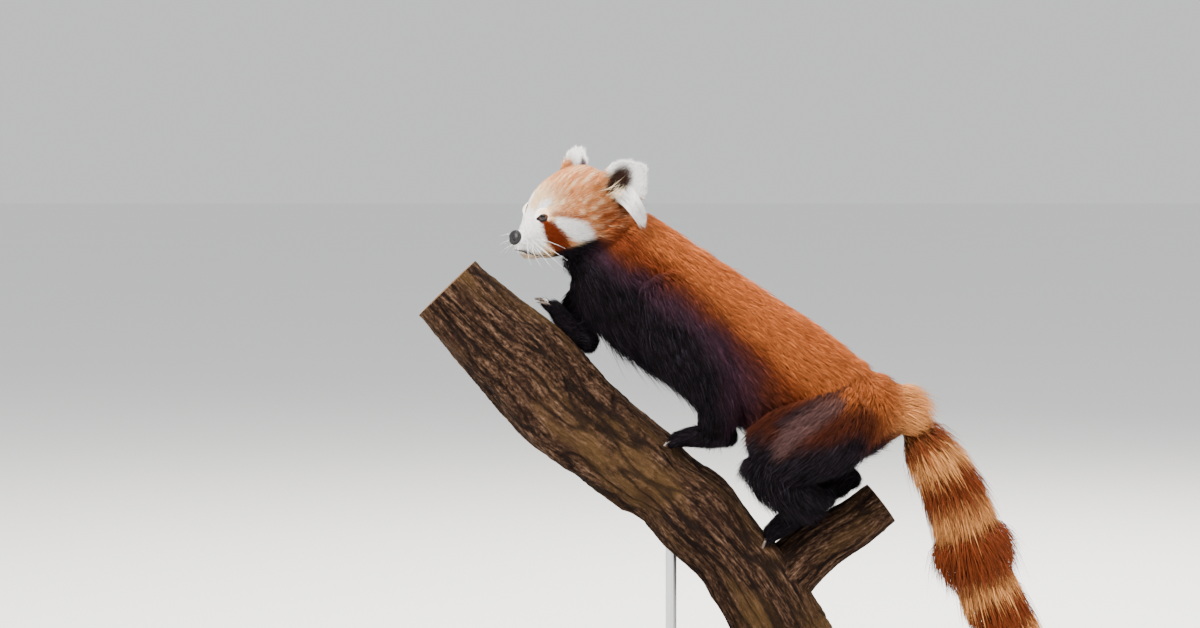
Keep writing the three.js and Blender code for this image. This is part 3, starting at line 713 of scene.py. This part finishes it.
def markings(points, shares, along_tail):
    """The coat's colour at points: regions with wavering soft edges, from named lines."""
    x, y, z = points.T
    waver = ripple(points, 0.05, 21) * 0.010
    spine = np.interp(x, [-0.196, -0.140, -0.032, 0.084, 0.186], [0.622, 0.572, 0.481, 0.408, 0.392])
    above = (z - spine) * 0.86 + ripple(points, 0.08, 22) * 0.008
    edge = np.interp(z, [0.372, 0.456, 0.495, 0.537, 0.571, 0.594, 0.615],
                     [-0.002, -0.010, -0.040, -0.086, -0.140, -0.182, -0.230])
    chest = edge - x + waver
    tail = share_of(shares, "tail")
    haunch = share_of(shares, "thigh_left", "thigh_right", "shank_left", "shank_right")
    under = blend_of(0.358 + 0.25 * np.clip(0.05 - x, 0, 0.2) - z + waver, -0.018, 0.012)
    belly = blend_of(0.400 - z + waver, 0.0, 0.03) * blend_of(0.052 - np.abs(y), 0.0, 0.02)
    flat = points[:, [0, 2]]
    outer = np.abs(y) > 0.035
    # painted shade in the crease where the thigh meets the body
    crease_painted_shade = near_line(flat, [(0.052, 0.386), (0.078, 0.404), (0.104, 0.420), (0.124, 0.432)],
                       [0.012, 0.013, 0.012, 0.008], 0.9)
    thigh = near_line(flat, [(0.050, 0.358), (0.066, 0.378), (0.088, 0.394), (0.116, 0.412)],
                      [0.016, 0.022, 0.020, 0.014], 0.8)
    # the black of the haunch behind the thigh, with painted shadow between thigh and rump
    heel_black_and_shadow = near_line(flat, [(0.100, 0.346), (0.138, 0.364)], [0.028, 0.022], 0.9)
    band = blend_of(np.sin(along_tail * 2 * np.pi * 5.5 - 0.9 + waver * 12), -0.25, 0.35)
    ringed = layered(RUST * 0.9, [
        (BUFF * 0.8, band),
        (BUFF * 0.9, blend_of(0.10 - along_tail, 0.0, 0.05) * 0.8),
        (DARK * 3, blend_of(along_tail, 0.88, 0.94)),
    ])
    places = to_head(points)
    colour = layered(RUST_DEEP, [
        # the back, from the flank up to the spine, lighter towards the top with painted light from above
        (RUST, blend_of(above, -0.034, 0.010)),
        (RUST_PAINTED_LIGHT * 0.8, blend_of(above + 0.15 * x, 0.000, 0.034)),
        (RUST_PAINTED_LIGHT * 1.12, blend_of(above, 0.026, 0.070)),
        # the chest and forelegs, in front of an edge that slopes back and down
        (RUST_DEEP, blend_of(chest, -0.050, -0.010) * 0.7),
        (PLUM, blend_of(chest, -0.032, 0.010)),
        (DARK, blend_of(chest, 0.004, 0.044)),
        # the hind legs and belly, then the marks on the haunch, with painted shade in a crease and behind the
        # thigh
        (RUST_DEEP * 0.7, haunch * blend_of(0.424 - z + waver, 0.0, 0.03) * 0.95),
        (DARK, under * (1 - tail) * blend_of(0.168 - x + waver, 0, 0.02)),
        (DARK, belly * blend_of(0.140 - x, 0, 0.03)),
        (DARK * 2, crease_painted_shade * 0.85 * outer),
        (GREY_PLUM, thigh * 0.8 * outer),
        (DARK * 1.5, heel_black_and_shadow * (1 - tail) * (np.abs(y) > 0.02)),
        (BUFF, blend_of(x + waver, 0.160, 0.205) * (1 - tail) * 0.8),
        (ringed, tail),
        (face_markings(places), blend_of(share_of(shares, *in_head), 0.35, 0.65)),
    ])
    for name, hand in ear_hands.items():
        height = (places - ear_roots[name]) @ ear_axes(hand)[0]
        mine = blend_of(share_of(shares, name), 0.35, 0.6) * blend_of(height, -0.012, -0.004)
        colour = mix_of(colour, ear_markings(places, name, hand), mine)
    return colour


def paint(mesh, colours):
    """Writes colours at the mesh's points as the attribute that the finishes read."""
    layer = mesh.color_attributes.new("coat_colour", "FLOAT_COLOR", "POINT")
    rows = np.concatenate([np.clip(colours, 0, 1), np.ones((len(colours), 1))], axis=1).astype(np.float32)
    layer.data.foreach_set("color", rows.ravel())


def coat_finish(name, roughness, gloss, scale):
    """Fur that takes its colour from the piece, with fine streaks and a slight gloss."""
    finish = Finish(name, Roughness=roughness, Specular_IOR_Level=gloss)
    colour = finish.node("ShaderNodeVertexColor", {"layer_name": "coat_colour"})
    streak = finish.noise(scale, 3.0)
    shade = streak * 0.5 + 0.78
    grey = finish.node("ShaderNodeCombineColor", {}, {0: shade, 1: shade, 2: shade})
    finish.feed(
        Base_Color=finish.mix(1.0, colour, grey, "MULTIPLY"),
        Normal=finish.bump(streak, 0.0006, 0.6),
    )
    return finish


tail_column = form_names.index("tail")
paint(skin_mesh, markings(skin_places, skin_share, skin_along[:, tail_column]) * 0.8)
skin_finish = coat_finish("skin_fur", 0.85, 0.04, 700.0)
skin_mesh.materials.clear()
skin_mesh.materials.append(skin_finish.material)
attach(skin, "root")
flesh_nodes = ["head", "ear_left", "ear_right", "neck", "torso_front", "torso_rear", "tail_1", "tail_2",
               "tail_3", "tail_4"]
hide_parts(*flesh_nodes, *leg_rows, *foot_rows)

# The skin's own unwrap: it is laid flat in patches, and each tuft takes a small square
# at its root's place.
bpy.context.view_layer.objects.active = skin
skin.select_set(True)
bpy.ops.object.mode_set(mode="EDIT")
bpy.ops.mesh.select_all(action="SELECT")
bpy.ops.uv.smart_project(angle_limit=1.15, island_margin=0.002)
bpy.ops.object.mode_set(mode="OBJECT")
skin_mesh.uv_layers[0].name = "OFBake"

# The coat: a great many tapered tufts of hair, each three sided and closed, rooted in the
# skin and laid back along the body. They are short on the face and feet, and long on the
# tail, under the belly and on the ruff.
chance = np.random.default_rng(5)
skin_mesh.calc_loop_triangles()
skin_corner = read_rows(skin_mesh.loop_triangles, "vertices", 3, np.int32)
skin_loop = read_rows(skin_mesh.loop_triangles, "loops", 3, np.int32)
skin_uv = read_rows(skin_mesh.uv_layers["OFBake"].data, "uv", 2)
corner_a, corner_b, corner_c = (skin_places[skin_corner[:, k]] for k in range(3))
skin_area = np.linalg.norm(np.cross(corner_b - corner_a, corner_c - corner_a), axis=1) / 2

# Length, width, lift from the skin, and how many layers lie over a point, by form.
coat_kinds = {"body": (0.020, 0.00082, 0.36, 8.4), "head": (0.0078, 0.00050, 0.40, 7.0),
              "tail": (0.034, 0.00115, 0.46, 9.0)}
coat_kinds.update({name: (0.0175, 0.00085, 0.38, 7.6) for name in leg_rows})
coat_kinds.update({name: (0.0075, 0.00060, 0.42, 6.0) for name in foot_rows})
coat_kinds.update({name: (0.0080, 0.00050, 0.45, 6.6) for name in ear_hands})
kinds = np.array([coat_kinds[name] for name in form_names])
skin_kind = np.exp(skin_share @ np.log(kinds))
head_places = to_head(skin_places)
head_way = share_of(skin_share, "head")
ruff = head_way * blend_of(head_places[:, 0], 0.010, 0.060) * blend_of(0.030 - head_places[:, 2], 0.0, 0.02)
ruff = ruff * blend_of(np.abs(head_places[:, 1]), 0.030, 0.05)
skin_kind[:, 0] *= 1 + 1.2 * ruff
skin_kind[:, 1] *= 1 + 0.4 * ruff
skin_kind[:, 0] *= 1 - 0.35 * head_way * blend_of(-head_places[:, 0], 0.02, 0.045)
below = blend_of(-skin_normals[:, 2], 0.25, 0.8) * share_of(skin_share, "body", *leg_rows)
skin_kind[:, 0] *= 1 + 0.75 * below * blend_of(0.10 - skin_places[:, 0], 0.0, 0.04)
skin_kind[:, 0] *= 1 + 0.6 * share_of(skin_share, "body") * blend_of(skin_places[:, 0], 0.175, 0.200)
eye_place = np.array([-0.0305, 0.0205, 0.011])
nose_place = np.array([-0.0615, 0.0, -0.014])
eye_gap = np.linalg.norm(on_one_side(head_places) - eye_place, axis=1)
nose_gap = np.linalg.norm(head_places - nose_place, axis=1)
skin_bare = (1 - blend_of(eye_gap, 0.0088, 0.0104)) + (1 - blend_of(nose_gap, 0.0080, 0.0100))
before_nose = from_head(np.array([-0.075, 0.0, -0.008]))  # the head's hair lies away from here


def on_skin(values, corners, shares):
    """Values of the skin's points, blended at each root."""
    return (values[corners] * shares[..., None]).sum(axis=1)


def sow(kind_mask, most):
    """Draws roots on the skin's triangles, as many to an area as the coat's layers need."""
    kind = skin_kind[skin_corner].mean(axis=1)
    mask = (kind_mask * (1 - np.clip(skin_bare, 0, 1)))[skin_corner].mean(axis=1)
    wanted = skin_area * mask * kind[:, 3] / (kind[:, 0] * kind[:, 1])
    total = int(min(wanted.sum(), most) * (1.0))
    triangle = np.sort(chance.choice(len(wanted), total, p=wanted / wanted.sum()))
    one, two = chance.random(total), chance.random(total)
    fold = one + two > 1
    one, two = np.where(fold, 1 - one, one), np.where(fold, 1 - two, two)
    return triangle, np.stack([1 - one - two, one, two], axis=1)


def grow(triangle, shares):
    """Each tuft's root, lie, normal, length, width, lift, colour and unwrap place."""
    corners = skin_corner[triangle]
    total = len(triangle)
    root = on_skin(skin_places, corners, shares)
    normal = unit(on_skin(skin_normals, corners, shares))
    kind = on_skin(skin_kind, corners, shares)
    form_share = on_skin(skin_share, corners, shares)
    along_tail = on_skin(skin_along[:, [tail_column]], corners, shares)[:, 0]
    lie = unit(on_skin(skin_lie, corners, shares))
    spread = unit(root - before_nose)
    lie += spread * (1.8 * share_of(form_share, "head"))[:, None]
    sway = 0.22 * (1 - 0.6 * share_of(form_share, "head"))
    lie += np.stack([ripple(root, 0.05, seed, 2) for seed in (41, 42, 43)], axis=1) * sway[:, None]
    lie += chance.normal(size=root.shape) * 0.13
    lie[:, 2] -= 0.22 * (1 - share_of(form_share, *in_head))
    lie = unit(squared(lie, normal))
    length = kind[:, 0] * np.exp(chance.normal(size=total) * 0.20)
    width = kind[:, 1] * np.exp(chance.normal(size=total) * 0.18)
    lift = kind[:, 2] * (1 + chance.normal(size=total) * 0.18)
    colour = markings(root, form_share, along_tail)
    pale = (chance.random(total) < 0.16) * share_of(form_share, "head") * 0.45
    colour = mix_of(colour, CREAM, pale * (colour[:, 0] > 0.25))
    grizzle = (chance.random(total) < 0.10) * 0.25 * (1 - share_of(form_share, *in_head))
    colour = mix_of(colour, TAN * 0.9, grizzle * (colour[:, 0] > 0.2))
    # Black tufts vary more in brightness, and some take a bluish painted sheen as highlights on the black
    # hair.
    black = 1 - blend_of(colour[:, 0], 0.01, 0.05)
    colour = colour * np.exp(chance.normal(size=total) * (0.24 + 0.30 * black))[:, None]
    colour = mix_of(colour, BLACK_HAIR_PAINTED_SHEEN, (chance.random(total) < 0.16) * black * 0.75)
    place = (skin_uv[skin_loop[triangle]] * shares[..., None]).sum(axis=1)
    return root, lie, normal, length, width, lift, colour, place


def plant(name, rows, faces, colours, chart, places, finish, block):
    """Makes the coat's pieces: rows of points for each tuft, its faces, colours and charts."""
    for number, first in enumerate(range(0, len(rows), block)):
        mine = slice(first, min(first + block, len(rows)))
        count = mine.stop - mine.start
        size = rows.shape[1]
        tuft_faces = (faces[None] + (np.arange(count) * size)[:, None, None]).reshape(-1, 3)
        piece = make_piece(name + "_" + str(number + 1), rows[mine].reshape(-1, 3), tuft_faces, finish)
        paint(piece.data, colours[mine].reshape(-1, 3))
        layer = piece.data.uv_layers.new(name="OFBake")
        squares = places[mine, None] + (chart - 0.5)[None] * 0.003
        layer.data.foreach_set("uv", squares.reshape(-1, 2)[tuft_faces.ravel()].astype(np.float32).ravel())
        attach(piece, "root")


def lay_tufts(name, root, lie, normal, length, width, lift, colour, place, finish):
    """Bent tufts of six faces: a root, a three-sided ring where the tuft bends, and a tip.

    The ring lies at 0.40 of the length and the tip at the whole, both raised by the
    lift. The tip sinks with the square of the length, and leans a quarter of the way
    towards the middle of its 8 mm cube, so that tips gather in locks.
    """
    lock = 0.008
    side = np.cross(normal, lie)
    bend = root + lie * (length * 0.40)[:, None] + normal * (length * lift * 0.58)[:, None]
    tip = root + lie * length[:, None] + normal * (length * lift * 0.80)[:, None]
    tip[:, 2] -= length ** 2 * 2.0
    heart = (np.floor(tip / lock) + 0.5) * lock - tip
    tip += squared(heart, normal) * 0.26
    across, rise = side * (width / 2)[:, None], normal * (width / 2)[:, None]
    rows = np.stack([root - normal * 0.0015, bend - across, bend + across, bend + rise * 0.8, tip], axis=1)
    faces = np.array([(1, 2, 0), (2, 3, 0), (3, 1, 0), (4, 2, 1), (4, 3, 2), (4, 1, 3)])
    chart = np.array([(0.5, 0.0), (0.0, 0.5), (1.0, 0.5), (0.5, 0.7), (0.5, 1.0)])
    fade = np.array([0.45, 0.90, 0.90, 0.95, 1.3])
    plant(name, rows, faces, colour[:, None] * fade[None, :, None], chart, place, finish, block=33000)


def lay_bristles(name, root, lie, normal, length, width, lift, colour, place, finish):
    """Straight tufts of four faces for short fur: a ring at the root and a tip."""
    side = np.cross(normal, lie)
    tip = root + lie * length[:, None] + normal * (length * lift * 0.55)[:, None]
    across, rise = side * (width / 2)[:, None], normal * (width / 2)[:, None]
    start = root - normal * 0.0007
    crest = start + rise * 1.2 + lie * (length * 0.05)[:, None]
    rows = np.stack([start - across, start + across, crest, tip], axis=1)
    faces = np.array([(0, 2, 1), (0, 1, 3), (1, 2, 3), (2, 0, 3)])
    chart = np.array([(0.0, 0.0), (1.0, 0.0), (0.5, 0.4), (0.5, 1.0)])
    fade = np.array([0.55, 0.55, 0.68, 1.25])
    plant(name, rows, faces, colour[:, None] * fade[None, :, None], chart, place, finish, block=48000)


fur_finish = coat_finish("long_fur", 0.66, 0.05, 420.0)
short_places = share_of(skin_share, *in_head, *foot_rows)
lay_tufts("coat_long", *grow(*sow(blend_of(short_places, 0.75, 0.45), most=172000)), fur_finish)
lay_bristles("coat_short", *grow(*sow(blend_of(short_places, 0.45, 0.75), most=115000)), fur_finish)


def lay_bundle(name, roots, tips, bow, spread, width, count, colour, finish):
    """Long tufts between two clouds of points: each bows out and tapers to its tip."""
    pick = chance.integers(0, len(roots), count)
    root = roots[pick] + chance.normal(size=(count, 3)) * spread
    tip = tips[pick] + chance.normal(size=(count, 3)) * spread * 0.8
    run = tip - root
    length = np.linalg.norm(run, axis=1)
    lie = run / length[:, None]
    out = unit(squared(np.tile(unit(bow), (count, 1)), lie))
    near = np.array([np.abs(skin_places - point).sum(axis=1).argmin() for point in roots])
    first_loop = np.zeros(len(skin_places), int)
    first_loop[skin_corner.ravel()] = skin_loop.ravel()
    place = skin_uv[first_loop[near[pick]]] + chance.normal(size=(count, 2)) * 0.002
    shades = colour * np.exp(chance.normal(size=count) * 0.12)[:, None]
    widths, lifts = np.full(count, width), np.full(count, 0.16)
    lay_tufts(name, root, lie, out, length, widths, lifts, shades, place, finish)


# The tuft that hangs below each ear and the few hairs across its hollow: roots and tips
# on one side of the head, in its frame, then the spread, width, count and colour.
hands = {"left": -1, "right": 1}
ear_bundles = {
    "ear_tuft_": ([(0.056, 0.050, 0.032), (0.064, 0.048, 0.036), (0.072, 0.050, 0.042)],
                  [(0.078, 0.072, -0.004), (0.080, 0.071, -0.002), (0.081, 0.070, 0.002)],
                  0.0026, 0.0010, 520, WHITE),
    "ear_hair_": ([(0.040, 0.050, 0.028), (0.044, 0.052, 0.034), (0.050, 0.052, 0.030)],
                  [(0.052, 0.062, 0.042), (0.058, 0.062, 0.050), (0.062, 0.064, 0.040)],
                  0.0050, 0.0004, 45, CREAM),
}
for hand_name, hand in hands.items():
    mirror = np.array([1, hand, 1])
    out = head_axes @ np.array([0.1, hand * 1.0, 0.3])
    for name, (roots, tips, *sizes) in ear_bundles.items():
        ends = (from_head(np.array(roots) * mirror), from_head(np.array(tips) * mirror))
        lay_bundle(name + hand_name, *ends, out, *sizes, fur_finish)

# The eyes: dark glossy balls, brown round a black pupil, sunk between lids of fine fur.
# The lids leave an almond-shaped opening with a black rim.
def make_ball(name, centre, radii, steps, sides, finish, dent=None):
    """A ball of latitude and longitude rows: centre + radii * the direction from it."""
    polar = np.linspace(0, np.pi, steps + 2)[1:-1, None]
    turn = np.linspace(0, 2 * np.pi, sides, endpoint=False)[None, :]
    ways = np.stack([-np.cos(polar) * np.ones_like(turn), np.sin(polar) * np.cos(turn),
                     np.sin(polar) * np.sin(turn)], axis=-1)
    ways = np.concatenate([ways.reshape(-1, 3), [[-1.0, 0, 0], [1.0, 0, 0]]])
    places = ways * radii
    if dent:
        places = dent(ways, places)
    thing = make_piece(name, from_head(places + centre), close_tube(steps, sides), finish)
    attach(thing, "root")
    return thing, ways


eye_finish = Finish("eye_gloss", Roughness=0.05, Specular_IOR_Level=0.35)
gaze = eye_finish.attribute("gaze")
iris = eye_finish.mix(eye_finish.noise(1400.0), (0.060, 0.022, 0.009), (0.110, 0.042, 0.016))
eye_finish.feed(Base_Color=eye_finish.mix(gaze.step(0.86, 0.90), iris, (0.002, 0.002, 0.002)))


# The lid's points: how many round the eye, out over the ball and back underneath.
lid_sides, lid_over, lid_under = 96, 14, 8
lid_turn = np.linspace(0, 2 * np.pi, lid_sides, endpoint=False)[:, None]
eye_radius = 0.0072


def lay_lids(centre, facing, hand):
    """A closed ring of skin round the eye, and how far out each of its points lies.

    It runs from the edge of the opening, on the ball, out to a wide oval under the fur,
    and back underneath. The opening is an ellipse whose height is squared up by the
    power 0.3 of the sine, and the lid swells a little near its edge.
    """
    slit = unit(squared(np.array([-0.74, -hand * 0.66, -0.28]), facing))
    upward = np.cross(facing, slit) * -hand
    share = np.concatenate([np.linspace(0, 1, lid_over), np.linspace(1, 0, lid_under)])[None, :]
    under = np.concatenate([np.zeros(lid_over), np.ones(lid_under)])[None, :]
    half_long = 0.0053 * np.cos(lid_turn)
    half_high = 0.0034 * np.sin(lid_turn)
    peak = np.abs(np.sin(lid_turn)) ** 0.3
    wide = half_long * (1 - share) + 0.0120 * np.cos(lid_turn) * share
    high = half_high * peak * (1 - share) + 0.0115 * np.sin(lid_turn) * share
    crown = np.sqrt((eye_radius + 0.0003) ** 2 - half_long ** 2 - (half_high * peak) ** 2)
    ahead = crown * (1 - share ** 1.6) + 0.0015 * share ** 1.6 + 0.0007 * np.sin(np.pi * share ** 0.55)
    ahead = ahead - under * 0.0009
    points = centre + wide[..., None] * slit + high[..., None] * upward + ahead[..., None] * facing
    return points.reshape(-1, 3), share


lid_grid = np.arange(lid_sides * (lid_over + lid_under)).reshape(lid_sides, -1)
lid_next = np.roll(lid_grid, -1, axis=0)
lid_corners = [lid_grid, np.roll(lid_grid, -1, axis=1), np.roll(lid_next, -1, axis=1), lid_next]
lid_faces = np.stack(lid_corners, axis=-1).reshape(-1, 4)
for name, hand in hands.items():
    facing = unit(np.array([-0.66, hand * 0.74, 0.12]))
    eye_centre = eye_place * np.array([1, hand, 1]) - facing * 0.0006
    eye, ways = make_ball("eyeball_" + name, eye_centre, eye_radius, 40, 60, eye_finish)
    write_values(eye, "gaze", "FLOAT", ways @ facing)
    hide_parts("eye_" + name)
    lid_points, share = lay_lids(eye_centre, facing, hand)
    faces = lid_faces[:, ::-1] if hand > 0 else lid_faces
    lid = make_piece("eyelids_" + name, from_head(lid_points), faces, skin_finish)
    reach = 0.22 + 0.08 * np.sin(lid_turn) + 0.42 * np.clip(np.cos(lid_turn), 0, 1) ** 12
    rim = blend_of((reach - share).ravel(), -0.05, 0.08)
    paint(lid.data, mix_of(face_markings(lid_points), DARK * 2, rim))
    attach(lid, "root")

# The nose: a broad pad of bare dark leather with a nostril in each side and a groove
# down its middle, and below it the thin dark lips that run back along the muzzle.
nose_finish = Finish("nose_leather", Roughness=0.42, Specular_IOR_Level=0.28)
pores = nose_finish.node(
    "ShaderNodeTexVoronoi", {}, {"Vector": nose_finish.place(), "Scale": 1100.0}, "Distance"
)
nose_finish.feed(
    Base_Color=nose_finish.mix(pores, (0.004, 0.0035, 0.004), (0.013, 0.011, 0.013)),
    Normal=nose_finish.bump(pores, 0.00025, 0.8),
)


def nose_dents(ways, places):
    """Draws the surface in at the nostrils and the middle groove, and slopes its front.

    Each nostril is exp(-d^2) of the stretched gap from its spot, and the groove is
    exp(-(y / 0.07)^2) on the lower front.
    """
    inward = np.zeros(len(ways))
    for hand in (-1, 1):
        spot = unit(np.array([-0.72, hand * 0.66, -0.22]))
        inward += 0.34 * np.exp(-((ways - spot) ** 2 / np.array([0.05, 0.05, 0.018])).sum(axis=1))
    x, y, z = ways.T
    groove = np.exp(-(y / 0.07) ** 2) * blend_of(-x, 0.2, 0.6) * blend_of(0.25 - z, 0, 0.4)
    slope = 0.22 * places[:, 2] + 0.0016 * np.clip(-x, 0, 1) ** 3
    narrow = -0.10 * places[:, 1] * (z < 0) * z ** 2
    return places * (1 - inward - 0.09 * groove)[:, None] + np.stack([slope, narrow, 0.0009 * z], axis=1)


nose_radii = np.array([0.8, 1.1, 0.85]) * 0.0095
nose_pad, _ = make_ball("nose_pad", nose_place, nose_radii, 60, 80, nose_finish, nose_dents)
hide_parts("nose")


def make_strands(name, forms, steps, sides, end, finish, place=None):
    """Many thin closed tubes in one piece, each a form carried along its own path."""
    points, faces = join([form.shell(steps, sides, end=end, rings=1) for form in forms])
    thing = make_piece(name, place(points) if place else points, faces, finish)
    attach(thing, "root")


lip_finish = Finish("lip_skin", Roughness=0.5, Specular_IOR_Level=0.2)
lip_tone = lip_finish.mix(lip_finish.noise(800.0), (0.006, 0.005, 0.005), (0.018, 0.013, 0.012))
lip_finish.feed(Base_Color=lip_tone)
lip_forms = [
    Form([(-61.5, 0, -30, 0.8, 0.7), (-58.2, hand * 9, -30, 0.8, 0.7), (-50, hand * 18, -33, 0.8, 0.7),
          (-38.5, hand * 27, -36, 0.7, 0.6), (-30, hand * 33, -33, 0.4, 0.4)], lateral=(0, 0, 1))
    for hand in (-1, 1)
]
make_strands("lips", lip_forms, 30, 8, 0.0005, lip_finish, from_head)

# The whiskers: thin, stiff, pale hairs in three rows on each side of the muzzle. They
# stand out from its skin and curve back and down to fine tips.
whisker_finish = Finish("whisker", Roughness=0.35)
whisker_tone = whisker_finish.mix(whisker_finish.noise(90.0), (0.75, 0.72, 0.68), (0.92, 0.90, 0.87))
whisker_finish.feed(Base_Color=whisker_tone)
whisker_forms = []
for hand in (-1, 1):
    for row, lift in enumerate((-0.25, -0.05, 0.14)):
        for column in range(4):
            start = np.array([-52.0 + 4.2 * column, hand * (14.5 + 2.8 * column), -25.0 + 5.0 * row])
            way = np.array([-0.55 + 0.22 * column, hand * 0.85, lift - 0.1])
            reach = 30.0 + 5.0 * column + 3 * chance.random()
            droop = np.array([0.22, 0, -0.20]) * reach
            whisker_forms.append(Form([
                (*(start + way * reach * share + droop * share ** 2), *[0.24 * (1 - share) + 0.05] * 2)
                for share in (0, 0.35, 0.7, 1.0)
            ], lateral=(0, 0, 1)))
make_strands("whiskers", whisker_forms, 12, 5, 0.0002, whisker_finish, from_head)

# The claws: short curved blades of brown horn, one in the end of each toe, that taper
# to a point just above the bark.
claw_finish = Finish("claw_horn", Roughness=0.32)
claw_grain = claw_finish.noise(300.0, 3.0)
claw_finish.feed(
    Base_Color=claw_finish.mix(claw_grain.step(0.35, 0.7), (0.055, 0.038, 0.028), (0.15, 0.110, 0.082)),
    Normal=claw_finish.bump(claw_grain, 0.0001, 0.5),
)
make_strands("claws", claw_forms, 12, 10, 0.0003, claw_finish)

# The stand: a low base board with dark paint, and two brushed steel rods that rise from
# it into the trunk. Their shapes are the solids' own.
stand_finish = Finish("stand_paint", Roughness=0.45)
stand_finish.feed(
    Base_Color=stand_finish.mix(stand_finish.noise(30.0), (0.020, 0.018, 0.017), (0.030, 0.027, 0.025)),
    Normal=stand_finish.bump(stand_finish.noise(600.0), 0.0002, 0.4),
)
rod_finish = Finish("stand_steel", Metallic=1.0, Roughness=0.32)
brushed = rod_finish.noise(60.0, 4.0, rod_finish.stretched((1.0, 1.0, 0.05)))
rod_finish.feed(Base_Color=rod_finish.mix(brushed, (0.42, 0.43, 0.44), (0.60, 0.61, 0.62)))
stand_finishes = {"stand_base": stand_finish, "stand_rod_front": rod_finish, "stand_rod_rear": rod_finish}
for node, finish in stand_finishes.items():
    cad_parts[node].data.materials.clear()
    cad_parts[node].data.materials.append(finish.material)
